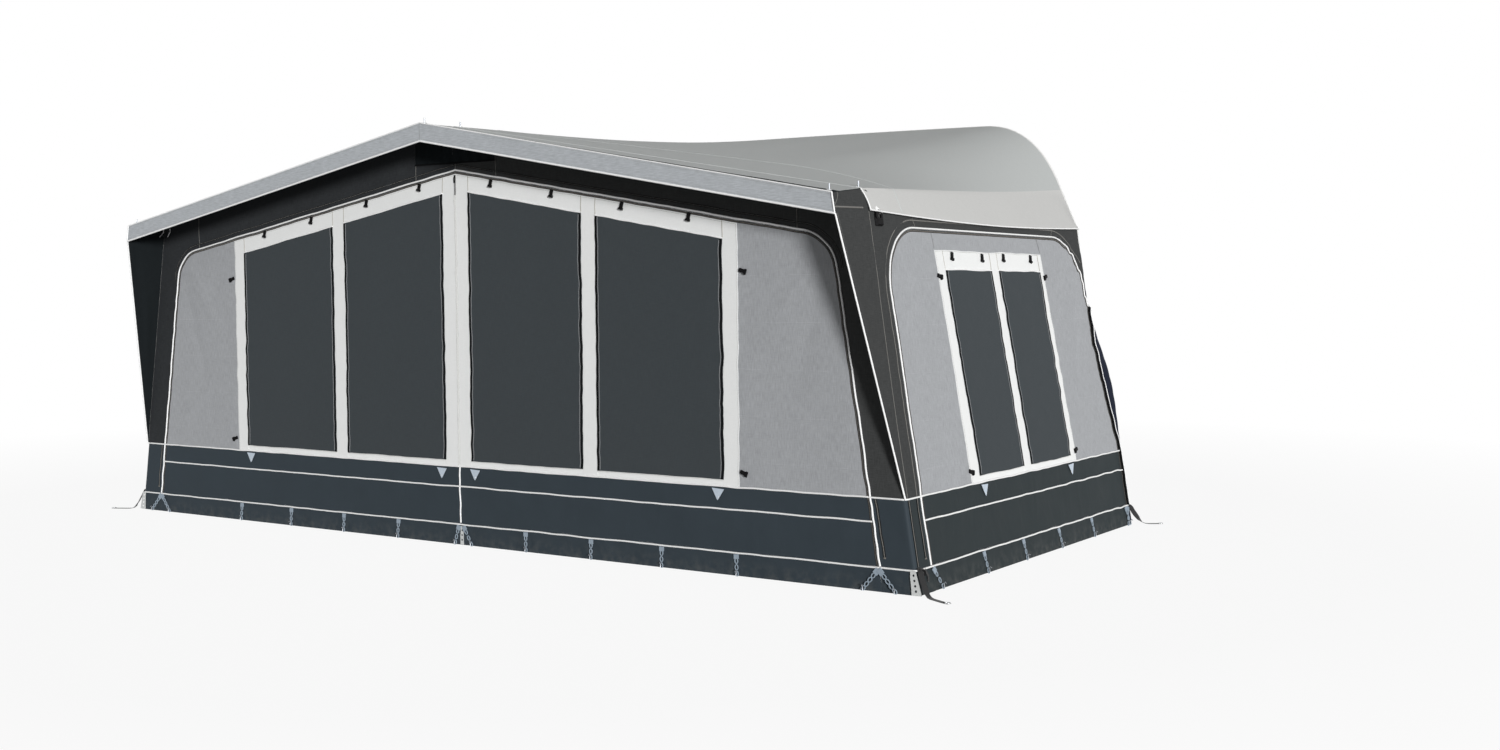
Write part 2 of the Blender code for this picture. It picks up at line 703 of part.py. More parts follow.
def make_side_surround():
    """The dark cloth round a side panel: front strip, header under the flap and rear strip."""
    low = MUD_WALL_HEIGHT + GAP
    rear = SIDE_DEPTH_HIGH + SIDE_REAR_TAIL
    header = []
    for step in range(ARC_STEPS + 1):
        y = GAP + (rear - GAP) * step / ARC_STEPS
        header.append((y, flap_bottom(y / DEPTH) + SIDE_HEADER_LAP))
    outline = [(GAP, low)] + header + side_rear_line(SIDE_REAR_TAIL)
    inner = [point for point in side_zip_line(GAP) if point[1] > low or point[0] > SIDE_DEPTH_HIGH]
    outline += list(reversed(inner))
    outline.append((SIDE_ZIP_INSET - GAP, low))
    twin(place("side_surround_right", side_plate([outline]), "charcoal"), "side_surround_left")


def tape_outline(start, end):
    """Outline of a pegging tape along the top of a skirt."""
    low = TAPE_TOP - TAPE_WIDTH
    return [(start, low), (end, low), (end, TAPE_TOP), (start, TAPE_TOP)]


def with_ladders(mesh, make_plate, first, pitch, count):
    """A skirt with the ladder straps that hang from its pegging tape joined on."""
    top = TAPE_TOP - LADDER_TUCK
    for index in range(count):
        middle = first + pitch * index
        near = middle - LADDER_WIDTH / 2
        far = middle + LADDER_WIDTH / 2
        ladder = [(near, LADDER_LIFT), (far, LADDER_LIFT), (far, top), (near, top)]
        strap = make_plate([ladder], LADDER_THICKNESS, LADDER_THICKNESS + GAP)
        mesh = combine(mesh, strap, "UNION")
    return mesh


def make_skirts():
    """The lowest strips of the mud wall with their pegging tapes and ladder straps."""
    thickness = TAPE_THICKNESS + SHEET / 2
    edge = SKIRT_HEIGHT - GAP
    outline = [(GAP / 2, 0.0), (zip_x(0.0) - GAP, 0.0), (zip_x(edge) - GAP, edge), (GAP / 2, edge)]
    tape = tape_outline(TAPE_END, zip_x(TAPE_TOP) - TAPE_END)
    mesh = combine(front_plate([outline]), front_plate([tape], thickness, TAPE_THICKNESS), "UNION")
    mesh = with_ladders(mesh, front_plate, FRONT_LADDER_FIRST, FRONT_LADDER_PITCH, FRONT_LADDERS)
    twin(place("front_skirt_right", mesh, "mud_wall"), "front_skirt_left")

    rear = SIDE_DEPTH_LOW + SIDE_REAR_TAIL
    near = SIDE_ZIP_INSET + GAP
    outline = [(near, FLOOR_LIFT), (rear, FLOOR_LIFT), (rear, edge), (near, edge)]
    tape = tape_outline(near + TAPE_END, rear - TAPE_END)
    mesh = combine(side_plate([outline]), side_plate([tape], thickness, TAPE_THICKNESS), "UNION")
    mesh = with_ladders(mesh, side_plate, SIDE_LADDER_FIRST, SIDE_LADDER_PITCH, SIDE_LADDERS)
    twin(place("side_skirt_right", mesh, "mud_wall"), "side_skirt_left")


def make_corner_panels():
    """The bent panels of the mud wall round the front corners: one L-shaped prism each."""
    corners = []
    for z in (0.0, MUD_WALL_HEIGHT - GAP):
        near = zip_x(z) + GAP
        outer = side_x(z)
        inner = outer - SHEET_ACROSS
        far = SIDE_ZIP_INSET - GAP
        corners += [(near, 0.0, z), (outer, 0.0, z), (outer, far, z), (inner, far, z),
                    (inner, SHEET, z), (near, SHEET, z)]
    count = len(corners) // 2
    faces = [tuple(reversed(range(count))), tuple(range(count, 2 * count))]
    for index in range(count):
        after = (index + 1) % count
        faces.append((index, after, after + count, index + count))
    mesh = bpy.data.meshes.new("corner_panel")
    mesh.from_pydata(corners, [], faces)
    twin(place("corner_panel_right", mesh, "mud_wall"), "corner_panel_left")


def make_rear_pads():
    """The draught pads between the side walls' rear edges and the caravan."""
    edge = SIDE_REAR_TAIL + PAD_SEAT
    points = ((SIDE_DEPTH_LOW, GAP), (SIDE_DEPTH_LOW, SIDE_KNEE_LOW),
              (SIDE_DEPTH_HIGH, SIDE_KNEE_HIGH), (SIDE_DEPTH_HIGH, LEG_KNEE_HEIGHT),
              (SIDE_DEPTH_HIGH, flap_bottom(1.0) - SIDE_HEADER_LAP))
    lift = PAD_THICKNESS * math.sin(SIDE_ANGLE)
    rows = []
    for y, z in points:
        height = max(z, lift)
        rows.append([(side_x(height), y + edge, height), (leg_x(height), DEPTH, height)])
    mesh = sheet_from_rows([list(reversed(row)) for row in reversed(rows)], PAD_THICKNESS)
    twin(place("rear_pad_right", mesh, "pad"), "rear_pad_left")


# Pole frame

APEX_BLOCK = Vector((0.0, FRAME_INSET, APEX_HEIGHT - SHEET - BLOCK_CLEARANCE - BLOCK_SIZE / 2))
CORNER_BLOCK_X = EAVE_HALF_WIDTH - CORNER_CLEARANCE - BLOCK_SIZE / 2
CORNER_BLOCK = Vector((CORNER_BLOCK_X, FRAME_INSET,
                       roof_height(CORNER_BLOCK_X + BLOCK_SIZE / 2) - SHEET - BLOCK_CLEARANCE
                       - BLOCK_SIZE / 2))
CANOPY_BLOCK_Y = CANOPY_BLOCK_INSET - OVERHANG
CANOPY_APEX = Vector((0.0, CANOPY_BLOCK_Y,
                      canopy_height(0.0, CANOPY_BLOCK_Y) - SHEET - BLOCK_CLEARANCE
                      - CANOPY_BLOCK_SIZE / 2))
CANOPY_CORNER_X = EAVE_HALF_WIDTH - CORNER_CLEARANCE - CANOPY_BLOCK_SIZE / 2
CANOPY_CORNER = Vector((CANOPY_CORNER_X, CANOPY_BLOCK_Y,
                        canopy_height(CANOPY_CORNER_X + CANOPY_BLOCK_SIZE / 2, CANOPY_BLOCK_Y)
                        - SHEET - BLOCK_CLEARANCE - CANOPY_BLOCK_SIZE / 2))


def off_block(centre, axis, run, radius):
    """Where a rod along an axis starts so that its end just clears the block's face."""
    across = math.sqrt(max(0.0, 1 - run ** 2))
    return centre + axis * ((BLOCK_SIZE / 2 + GAP + radius * across) / run)


def arm_ends(wall_block, canopy_block):
    """Start and end of a canopy arm, from the wall's block to the canopy's."""
    axis = (canopy_block - wall_block).normalized()
    return off_block(wall_block, axis, abs(axis.y), CANOPY_POLE_RADIUS), canopy_block


CENTRE_ARM = arm_ends(APEX_BLOCK, CANOPY_APEX)
CORNER_ARM = arm_ends(CORNER_BLOCK, CANOPY_CORNER)


def block(centre, size, roof_top):
    """A corner block with the spigot that stands through the sheet's eyelet."""
    mesh = box(centre, (size, size, size))
    top = (centre.x, centre.y, roof_top + SPIGOT_RISE)
    return combine(mesh, cylinder(centre, top, SPIGOT_RADIUS), "UNION")


def roof_pole(centre, end):
    """A roof pole: corner block, pole back to the caravan and its flat end plate."""
    mesh = block(centre, BLOCK_SIZE, roof_height(centre.x))
    plate_start = end - Vector((0.0, POLE_END_THICKNESS, 0.0))
    reach = end - Vector((0.0, POLE_END_THICKNESS / 2, 0.0))
    mesh = combine(mesh, cylinder(centre, reach, POLE_RADIUS), "UNION")
    return combine(mesh, cylinder(plate_start, end, POLE_END_RADIUS), "UNION")


def make_roof_poles():
    """The ridge pole and the two eave poles, each with its block over an upright."""
    ridge_end = Vector((0.0, DEPTH, RAIL_HEIGHT - RIDGE_END_DROP))
    place("roof_pole_centre", roof_pole(APEX_BLOCK, ridge_end), "steel")
    eave_end = Vector((RAIL_FOLD_HALF_WIDTH - EAVE_END_INSET, DEPTH,
                       RAIL_FOLD_HEIGHT - EAVE_END_DROP))
    twin(place("roof_pole_right", roof_pole(CORNER_BLOCK, eave_end), "steel"), "roof_pole_left")


def trimmed_rod(start, end, start_size, end_size, radius):
    """A rod between two blocks, cut back so that it just clears their faces."""
    start = Vector(start)
    end = Vector(end)
    axis = (end - start).normalized()
    lean = radius * abs(axis.z) / abs(axis.x)
    first = start + axis * ((start_size / 2 + GAP) / abs(axis.x) + lean)
    last = end - axis * ((end_size / 2 + GAP) / abs(axis.x) + lean)
    return cylinder(first, last, radius)


def make_rafters():
    """The front rafters over the wall and the canopy's rafters behind the fascia."""
    mesh = trimmed_rod(APEX_BLOCK, CORNER_BLOCK, BLOCK_SIZE, BLOCK_SIZE, POLE_RADIUS)
    twin(place("front_rafter_right", mesh, "steel"), "front_rafter_left")
    mesh = trimmed_rod(CANOPY_APEX, CANOPY_CORNER, CANOPY_BLOCK_SIZE, CANOPY_BLOCK_SIZE,
                       CANOPY_POLE_RADIUS)
    twin(place("canopy_rafter_right", mesh, "steel"), "canopy_rafter_left")


def canopy_arm(arm):
    """A canopy arm: pole from the wall's block to its own block at the overhang's edge."""
    start, centre = arm
    mesh = block(centre, CANOPY_BLOCK_SIZE, canopy_height(centre.x, centre.y))
    return combine(mesh, cylinder(start, centre, CANOPY_POLE_RADIUS), "UNION")


def make_canopy_arms():
    """The three arms that carry the overhang."""
    place("canopy_arm_centre", canopy_arm(CENTRE_ARM), "steel")
    twin(place("canopy_arm_right", canopy_arm(CORNER_ARM), "steel"), "canopy_arm_left")


def upright_axis(centre):
    """Top point and downward axis of the upright that stands under a block."""
    foot_x = centre.x + SIDE_LEAN * centre.z if centre.x else 0.0
    axis = (Vector((foot_x, centre.y, 0.0)) - centre).normalized()
    return off_block(centre, axis, abs(axis.z), UPRIGHT_RADIUS), axis


def make_upright(name, centre):
    """One telescopic upright: outer tube with its clamp collar, inner leg with foot, and knob."""
    top, axis = upright_axis(centre)
    length = (top.z - UPRIGHT_BOTTOM) / abs(axis.z)
    profile = [(UPRIGHT_RADIUS, 0.0), (UPRIGHT_RADIUS, length - COLLAR_LENGTH),
               (COLLAR_RADIUS, length - COLLAR_LENGTH), (COLLAR_RADIUS, length),
               (UPRIGHT_BORE_RADIUS, length), (UPRIGHT_BORE_RADIUS, 0.0)]
    tube = place(f"upright_{name}", turned(profile, top, axis), "steel")

    mouth = top + axis * length
    ground = top + axis * (top.z / abs(axis.z))
    leg_top = mouth - axis * LEG_OVERLAP
    leg_low = ground - axis * (FOOT_THICKNESS / 2 / abs(axis.z))
    foot = cylinder((ground.x, ground.y, 0.0), (ground.x, ground.y, FOOT_THICKNESS), FOOT_RADIUS)
    leg_mesh = combine(foot, cylinder(leg_low, leg_top, LEG_RADIUS), "UNION")
    leg = place(f"leg_{name}", leg_mesh, "steel", mouth)

    seat = mouth - axis * (COLLAR_LENGTH / 2) + Vector((0.0, COLLAR_RADIUS + GAP, 0.0))
    stem_end = seat + Vector((0.0, KNOB_STEM_LENGTH, 0.0))
    head_end = stem_end + Vector((0.0, KNOB_THICKNESS, 0.0))
    knob_mesh = combine(cylinder(seat, stem_end + Vector((0.0, GAP, 0.0)), KNOB_STEM_RADIUS),
                        cylinder(stem_end, head_end, KNOB_RADIUS), "UNION")
    knob = place(f"clamp_knob_{name}", knob_mesh, "plastic", seat)
    return tube, leg, knob


def make_uprights():
    """The centre upright and the two corner ones."""
    make_upright("centre", APEX_BLOCK)
    for piece in make_upright("right", CORNER_BLOCK):
        twin(piece, piece.name.replace("_right", "_left"))


def make_zip_slider():
    """The slider of the zip between the two front panels."""
    top = APEX_HEIGHT - FRONT_PANEL_DROP - SLIDER_DROP - SLIDER_HEIGHT / 2
    centre = (0.0, -GAP - SLIDER_THICKNESS / 2, top)
    mesh = box(centre, (SLIDER_WIDTH, SLIDER_THICKNESS, SLIDER_HEIGHT))
    place("front_zip_slider", mesh, "plastic", centre)


# Storm straps. Routes chosen by hand: the front one from the ground corner of the front and side
# walls, the rear one from the same corner at the caravan

FRONT_STRAP_ROUTE = ((-0.0183, 0.0100, 0.1140), (-0.0104, 0.0100, 0.1153), (-0.0025, 0.0085, 0.1125),
                     (0.0035, 0.0060, 0.1045), (0.0110, 0.0020, 0.0860), (0.0230, -0.0040, 0.0620),
                     (0.0370, -0.0110, 0.0380), (0.0500, -0.0180, 0.0190), (0.0640, -0.0250, 0.0080),
                     (0.0800, -0.0330, 0.0045), (0.0980, -0.0430, 0.0042), (0.1180, -0.0540, 0.0042),
                     (0.1380, -0.0650, 0.0042), (0.1580, -0.0760, 0.0042), (0.1770, -0.0840, 0.0042),
                     (0.1960, -0.0900, 0.0042))
REAR_STRAP_ROUTE = ((-0.0173, -0.0420, 0.1080), (-0.0094, -0.0420, 0.1093), (-0.0015, -0.0400, 0.1065),
                    (0.0045, -0.0360, 0.0985), (0.0120, -0.0280, 0.0800), (0.0240, -0.0140, 0.0560),
                    (0.0370, 0.0000, 0.0340), (0.0500, 0.0130, 0.0170), (0.0650, 0.0270, 0.0075),
                    (0.0810, 0.0410, 0.0045), (0.0980, 0.0520, 0.0042), (0.1160, 0.0640, 0.0042),
                    (0.1330, 0.0770, 0.0042), (0.1480, 0.0910, 0.0042))


def make_strap(name, route, depth):
    """One storm strap as a plain tube along its route, at a depth, and its twin."""
    curve = bpy.data.curves.new("strap", "CURVE")
    curve.dimensions = "3D"
    curve.bevel_depth = STRAP_RADIUS
    curve.bevel_resolution = 2
    curve.use_fill_caps = True
    spline = curve.splines.new("POLY")
    spline.points.add(len(route) - 1)
    for point, (x, y, z) in zip(spline.points, route):
        point.co = (GROUND_HALF_WIDTH + x, depth + y, z, 1.0)
    right = place(f"{name}_right", evaluated_mesh(loose("strap", curve)), "strap")
    twin(right, f"{name}_left")


make_roof()
make_bead()
make_canopy()
make_fascia()
make_wings()
make_front_panels()
make_front_surround()
make_side_panels()
make_side_surround()
make_skirts()
make_corner_panels()
make_rear_pads()
make_roof_poles()
make_rafters()
make_canopy_arms()
make_uprights()
make_zip_slider()
make_strap("front_storm_strap", FRONT_STRAP_ROUTE, 0.0)
make_strap("rear_storm_strap", REAR_STRAP_ROUTE, DEPTH)
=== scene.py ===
"""Looks of a full porch awning that hangs on a caravan's rail.

Every flat piece of cloth is cut from an outline on its wall, meshed finely,
given the slack and creases of real cloth, and thickened. Piping, tapes, zips,
stitches and ladder straps are grown along paths by Geometry Nodes. Points are
named in the awning's own frame, whose front wall stands at depth 0; a Wall
turns them into places in the model.
"""
from __future__ import annotations

import logging
import math
from dataclasses import dataclass
from enum import Enum
from typing import Any, Iterable, Sequence

import bmesh
import bpy
import numpy as np
from mathutils import Matrix, Vector, noise
from mathutils.geometry import delaunay_2d_cdt

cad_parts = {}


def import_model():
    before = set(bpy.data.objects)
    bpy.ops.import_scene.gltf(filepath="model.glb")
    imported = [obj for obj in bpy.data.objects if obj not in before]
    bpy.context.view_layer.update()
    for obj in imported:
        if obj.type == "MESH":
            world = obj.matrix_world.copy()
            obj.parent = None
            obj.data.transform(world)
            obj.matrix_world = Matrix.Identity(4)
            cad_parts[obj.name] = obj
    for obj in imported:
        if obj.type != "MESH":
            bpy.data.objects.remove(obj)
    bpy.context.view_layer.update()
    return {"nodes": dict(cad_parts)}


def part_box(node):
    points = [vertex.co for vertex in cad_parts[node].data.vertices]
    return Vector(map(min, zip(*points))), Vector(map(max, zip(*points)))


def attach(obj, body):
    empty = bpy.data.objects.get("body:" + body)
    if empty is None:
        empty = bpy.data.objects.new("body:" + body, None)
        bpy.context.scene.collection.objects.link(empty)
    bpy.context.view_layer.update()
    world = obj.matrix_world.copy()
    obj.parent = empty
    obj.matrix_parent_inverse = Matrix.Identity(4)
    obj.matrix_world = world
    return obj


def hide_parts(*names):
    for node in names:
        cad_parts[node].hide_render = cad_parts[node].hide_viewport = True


log = logging.getLogger("awning")

Point = tuple[float, float]
Line = Sequence[Point]
Path = Sequence[Vector]
Grid = Sequence[Sequence[tuple[Vector, Point]]]
Colour = tuple[float, float, float]
Material = bpy.types.Material
Mesh = bpy.types.Mesh
Object = bpy.types.Object
Socket = bpy.types.NodeSocket


class Side(Enum):
    """The left or right half, as seen from in front of the awning."""

    LEFT = -1
    RIGHT = 1

    @property
    def word(self) -> str:
        """The side's name in node and piece names."""
        return self.name.lower()


class Face(Enum):
    """Which wall a flat piece of cloth lies on."""

    FRONT = "front"
    FLANK = "side"


class Hold(Enum):
    """How a sheet of cloth is held."""

    STRETCHED = "stretched"
    HUNG = "hung"


@dataclass(frozen=True)
class Plan:
    """Sizes of the tent in metres, in the awning's own frame."""

    middle_y: float = 1.2225  # depth of the model's origin
    depth: float = 2.70
    overhang: float = 0.26
    ground_half: float = 2.87
    eave_half: float = 2.565
    eave_height: float = 1.865
    apex_height: float = 2.31
    canopy_apex: float = 2.308
    canopy_eave: float = 1.835
    fascia_height: float = 0.097
    flap_height: float = 0.097
    flap_standoff: float = 0.014
    flap_sag: float = 0.03
    roof_sag: float = 0.035
    roof_rear_trim: float = 0.0009  # play between the roof and the rail's bead
    rail_height: float = 2.43
    rail_crown: float = 0.015
    rail_flat_half: float = 1.90
    rail_flat_share: float = 0.74
    rail_fold: Point = (2.41, 2.00)
    rail_pulls: Point = (0.47, 0.215)  # pull of the two ends of the curve to the fold
    rail_rise: float = 0.65
    leg: tuple[Point, ...] = ((2.87, 0.0), (2.788, 0.442), (2.554, 1.351), (2.513, 1.761))
    sheet: float = 0.003  # thickness of the CAD's sheets
    gap: float = 0.0003  # play between two sheets
    mud_wall: float = 0.435
    mud_lap: float = 0.439  # upper edge of a panel's mud flap, over the panel's foot
    piping: tuple[float, float] = (0.437, 0.325)  # heights of the lines round the mud wall
    skirt: float = 0.12
    skirt_piping: float = 0.114
    front_inset: float = 0.19  # from the side wall to the front zip
    flank_inset: float = 0.157  # from the front wall to the side zip
    cover: float = 0.0078  # piping over a zip, outside the panel's edge
    coil: float = -0.0062  # coil of a zip, inside the panel's edge
    panel_drop: float = 0.245  # from the roof's front edge down to the zip
    front_radius: float = 0.22
    flank_top: float = 1.687
    flank_radii: Point = (0.30, 0.38)
    rear_high: float = 2.50  # depth of the side zip over the knee
    rear_low: float = 2.65  # and under it
    knee_high: float = 1.08
    knee_low: float = 0.44
    tail: float = 0.02  # width of the strip behind the side zip
    pad_gap: float = 0.0022
    header_lap: float = 0.015  # how far the side walls go up under the roof's flap
    arc_steps: int = 24

    @property
    def foot(self) -> float:
        """Height of the zip-out panels' lower edge."""
        return self.skirt + self.gap

    @property
    def side_lean(self) -> float:
        """How far a side wall leans in for each metre up."""
        return (self.ground_half - self.eave_half) / self.eave_height

    @property
    def side_angle(self) -> float:
        """The side wall's lean, in radians."""
        return math.atan(self.side_lean)

    @property
    def roof_fall(self) -> float:
        """How far the front eave falls for each metre outwards."""
        return (self.apex_height - self.eave_height) / self.eave_half

    @property
    def canopy_fall(self) -> float:
        """How far the overhang's edge falls for each metre outwards."""
        return (self.canopy_apex - self.canopy_eave) / self.eave_half

    def roof_height(self, x: float) -> float:
        """Height of the roof over the front wall."""
        return self.apex_height - self.roof_fall * abs(x)

    def canopy_height(self, x: float, y: float) -> float:
        """Height of the overhang's top, with y from -overhang to 0.

        Args:
            x: distance from the middle.
            y: depth, from -overhang at the fascia to 0 at the wall.

        Returns:
            The height.
        """
        share = -y / self.overhang
        edge = self.canopy_apex - self.canopy_fall * abs(x)
        return self.roof_height(x) * (1 - share) + edge * share

    def side_x(self, z: float) -> float:
        """Half width of the tent at a height."""
        return self.ground_half - self.side_lean * z

    def zip_x(self, z: float) -> float:
        """Distance of the front panel's outer zip from the middle, at a height."""
        return self.side_x(z) - self.front_inset

    def leg_x(self, z: float) -> float:
        """Half width of the rail's leg down the caravan's wall, at a height.

        Args:
            z: the height.

        Returns:
            The half width.
        """
        for (low_x, low_z), (high_x, high_z) in zip(self.leg, self.leg[1:]):
            if z <= high_z:
                return low_x + (high_x - low_x) * (z - low_z) / (high_z - low_z)
        return self.leg[-1][0]

    def flap_bottom(self, share: float) -> float:
        """Height of the roof flap's lower edge at a share of the depth."""
        start = self.eave_height - self.flap_height
        return (start + (self.leg[-1][1] - start) * share
                - self.flap_sag * math.sin(math.pi * share))

    def rail_profile(self, share: float) -> Vector:
        """Point (x, z) of the rail between its middle (0) and the flap's fold (1).

        Args:
            share: 0 at the rail's middle and 1 at the fold.

        Returns:
            The point (x, z).
        """
        if share < self.rail_flat_share:
            along = share / self.rail_flat_share
            return Vector((self.rail_flat_half * along,
                           self.rail_height - self.rail_crown * along ** 2))
        share = (share - self.rail_flat_share) / (1 - self.rail_flat_share)
        rest = 1 - share
        level = self.rail_height - self.rail_crown
        start, end = Vector((self.rail_flat_half, level)), Vector(self.rail_fold)
        across = self.rail_fold[0] - self.rail_flat_half
        first = start + Vector((across * self.rail_pulls[0], 0.0))
        second = end + Vector((-across * self.rail_pulls[1],
                               (level - self.rail_fold[1]) * self.rail_rise))
        return (rest ** 3 * start + 3 * rest ** 2 * share * first
                + 3 * rest * share ** 2 * second + share ** 3 * end)

    def roof_point(self, across: float, y: float) -> Vector:
        """A point of the roof.

        Args:
            across: 0 at the ridge, 1 at the flap's fold and 2 at the flap's lower edge.
            y: depth behind the front wall.

        Returns:
            The point (x, y, z) of the right half, in the awning's frame.
        """
        share = y / self.depth
        curve = math.sin(math.pi / 2 * min(across, 1.0))
        x = self.eave_half * curve
        point = Vector((x, self.roof_height(x))).lerp(self.rail_profile(curve), share)
        point.y -= self.roof_sag * (1 - 0.6 * curve) * math.sin(math.pi * share ** 1.3)
        if across > 1.0:
            bend_start = self.rear_high + self.tail + self.pad_gap
            bend = max(0.0, (y - bend_start) / (self.depth - bend_start))
            bottom = self.flap_bottom(share)
            edge_x = self.side_x(bottom) + self.flap_standoff
            edge = Vector((edge_x + (self.leg[-1][0] - edge_x) * bend, bottom))
            point = point.lerp(edge, across - 1.0)
        return Vector((point.x, y, point.y))

    def fillet(self, before: Point, corner: Point, after: Point, radius: float) -> list[Point]:
        """Points of an arc that rounds one corner of an outline.

        Args:
            before: the outline's point before the corner.
            corner: the corner.
            after: the outline's point after it.
            radius: the arc's radius.

        Returns:
            The arc's points, in the outline's order.
        """
        middle = Vector(corner)
        inward = (Vector(before) - middle).normalized()
        outward = (Vector(after) - middle).normalized()
        half = inward.angle(outward) / 2
        centre = middle + (inward + outward).normalized() * radius / math.sin(half)
        start = middle + inward * radius / math.tan(half) - centre
        end = middle + outward * radius / math.tan(half) - centre
        turn = start.angle_signed(end)
        return [tuple(centre + Matrix.Rotation(-turn * step / self.arc_steps, 2) @ start)
                for step in range(self.arc_steps + 1)]

    def eave_corner(self, inset: float, drop: float) -> Point:
        """Where a line inset from the side meets a line dropped from the front roof edge."""
        x = ((self.ground_half - inset - self.side_lean * (self.apex_height - drop))
             / (1 - self.side_lean * self.roof_fall))
        return x, self.apex_height - drop - self.roof_fall * x

    def front_zip(self, offset: float) -> list[Point]:
        """The front zip, from the skirt's top over the corner to the middle.

        Args:
            offset: how far outside the panel's edge the line runs.

        Returns:
            Points (x, z) of the right half.
        """
        across = self.front_inset - offset / math.cos(self.side_angle)
        drop = self.panel_drop - offset / math.cos(math.atan(self.roof_fall))
        bottom = (self.side_x(self.foot) - across, self.foot)
        middle = (self.gap / 2, self.apex_height - drop - self.roof_fall * self.gap / 2)
        corner = self.eave_corner(across, drop)
        return [bottom, *self.fillet(bottom, corner, middle, self.front_radius + offset), middle]

    def flank_zip(self, offset: float, low: float = 0.0) -> list[Point]:
        """The side zip, from the front skirt over the top and down the rear.

        Args:
            offset: how far outside the panel's edge the line runs.
            low: height of its two ends, where that is over the skirt's top.

        Returns:
            Points (y, z).
        """
        low = max(low, self.foot)
        near, rear = self.flank_inset - offset, self.rear_high + offset
        top, knee = self.flank_top + offset, (rear, self.knee_high)
        first, second = self.flank_radii
        return [(near, low), *self.fillet((near, low), (near, top), (rear, top), first + offset),
                *self.fillet((near, top), (rear, top), knee, second + offset), knee,
                (self.rear_low + offset, self.knee_low), (self.rear_low + offset, low)]


PLAN = Plan()
PITCH = 0.02  # longest step between points of a line or an outline, in metres
ROW_SHARE = 0.87  # spacing of the rows of a cloth's lattice, in lattice pitches
CLEAR_SHARE = 0.45  # least distance of a lattice point from an outline, in lattice pitches


@dataclass(frozen=True)
class Wall:
    """One flat wall. Points on it are (x, z) at the front and (y, z) on a side."""

    face: Face
    side: Side
    still: bool = False  # whether its cloth isn't pulled along the wall

    @property
    def front(self) -> bool:
        """Whether it is the front wall."""
        return self.face is Face.FRONT

    def name(self, part: str) -> str:
        """Name of one of the wall's parts."""
        return f"{self.face.value}_{part}_{self.side.word}"

    def pull(self, across: float, z: float) -> Point:
        """How far the cloth is pulled along the wall at a point, between its pegs and poles.

        Args:
            across: distance along the wall.
            z: height.

        Returns:
            The pull along the wall and up.
        """
        if self.still or (not self.front and across < 0):
            return 0.0, 0.0
        signed = self.side.value * across
        seed, scallop = 7.0, 0.0
        if self.front:
            slow, quick = 0.0040, 0.0055
            margins = (PLAN.side_x(z) - abs(across)) / 0.12, (PLAN.roof_height(across) - z) / 0.10
        else:
            seed += 9 * self.side.value
            slow, quick = 0.0070, 0.005 + 0.014 * (across / PLAN.depth) ** 2
            margins = across / 0.10, (PLAN.depth - across) / 0.12, (1.68 - z) / 0.08
            rear = min(1.0, max(0.0, (across - 2.03) / 0.2)) * min(1.0, max(0.0, (z - 0.7) / 0.4))
            scallop = 0.017 * rear * noise.noise(Vector((signed * 21, z * 23, seed + 40)))
        calm = min(1.0, z / 0.12, *[max(0.0, margin) for margin in margins])
        long = Vector((signed * 4, z * 4, seed))
        short = Vector((signed * 11, z * 15, seed + 3))
        along = slow * noise.noise(long) + quick * noise.noise(short)
        up = slow * noise.noise(long + Vector((0, 0, 20))) + quick * noise.noise(short * 0.9)
        return calm * (along + scallop), calm * (0.4 * up + scallop)

    @property
    def facing(self) -> Vector:
        """The wall's outward normal.

        Returns:
            The unit vector.
        """
        if self.front:
            return Vector((0.0, -1.0, 0.0))
        angle = PLAN.side_angle
        return Vector((self.side.value * math.cos(angle), 0.0, math.sin(angle)))

    def at(self, across: float, z: float, off: float = 0.0) -> Vector:
        """Place in the model of a point that stands off outside the wall.

        Args:
            across: distance along the wall.
            z: height.
            off: how far it stands off.

        Returns:
            The place.
        """
        along, up = self.pull(across, z)
        if self.front:
            return Vector((self.side.value * across + along, -off - PLAN.middle_y, z + up))
        z += up
        base = Vector((self.side.value * PLAN.side_x(z), across + along - PLAN.middle_y, z))
        return base + self.facing * off

    def lay(self, points: Line, off: float) -> Path:
        """Places in the model of a line of points."""
        return [self.at(across, z, off) for across, z in spaced(points, PITCH, False)]

    def cloth_uv(self, across: float, z: float) -> Point:
        """A point's place on the flat cloth, in metres."""
        return across, z if self.front else z / math.cos(PLAN.side_angle)


def spaced(points: Line, pitch: float, closed: bool = True) -> list[Point]:
    """A line or an outline with extra points, a pitch apart at most.

    Args:
        points: the corners.
        pitch: longest step between two points.
        closed: whether the last corner joins the first.

    Returns:
        The points.
    """
    result: list[Point] = []
    for (x, z), end in zip(points, [*points[1:], *([points[0]] if closed else [])]):
        steps = max(1, math.ceil(math.dist((x, z), end) / pitch))
        result += [(x + (end[0] - x) * step / steps, z + (end[1] - z) * step / steps)
                   for step in range(steps)]
    return result if closed else result + [tuple(points[-1])]


# Node trees


class NodeWriter:
    """Adds nodes to one tree and feeds their inputs with numbers or with other nodes."""

    def __init__(self, tree: bpy.types.NodeTree) -> None:
        """Start on a shader or geometry tree."""
        self.tree = tree

    def node(self, kind: str, inputs: dict[Any, Any] | None = None, **settings: Any) -> Any:
        """Add a node.

        Args:
            kind: the node's type.
            inputs: input name or index to a value or an output socket.
            **settings: properties of the node itself.

        Returns:
            The new node's outputs.
        """
        made = self.tree.nodes.new(kind)
        for key, value in settings.items():
            setattr(made, key, value)
        for key, value in (inputs or {}).items():
            if isinstance(value, Socket):
                self.tree.links.new(value, made.inputs[key])
            else:
                made.inputs[key].default_value = value
        return made.outputs


def linear(*display: float) -> Colour:
    """Turn display values from 0 to 255 into scene-linear ones."""
    shares = [value / 255 for value in display]
    return tuple(s / 12.92 if s <= 0.04045 else ((s + 0.055) / 1.055) ** 2.4 for s in shares)


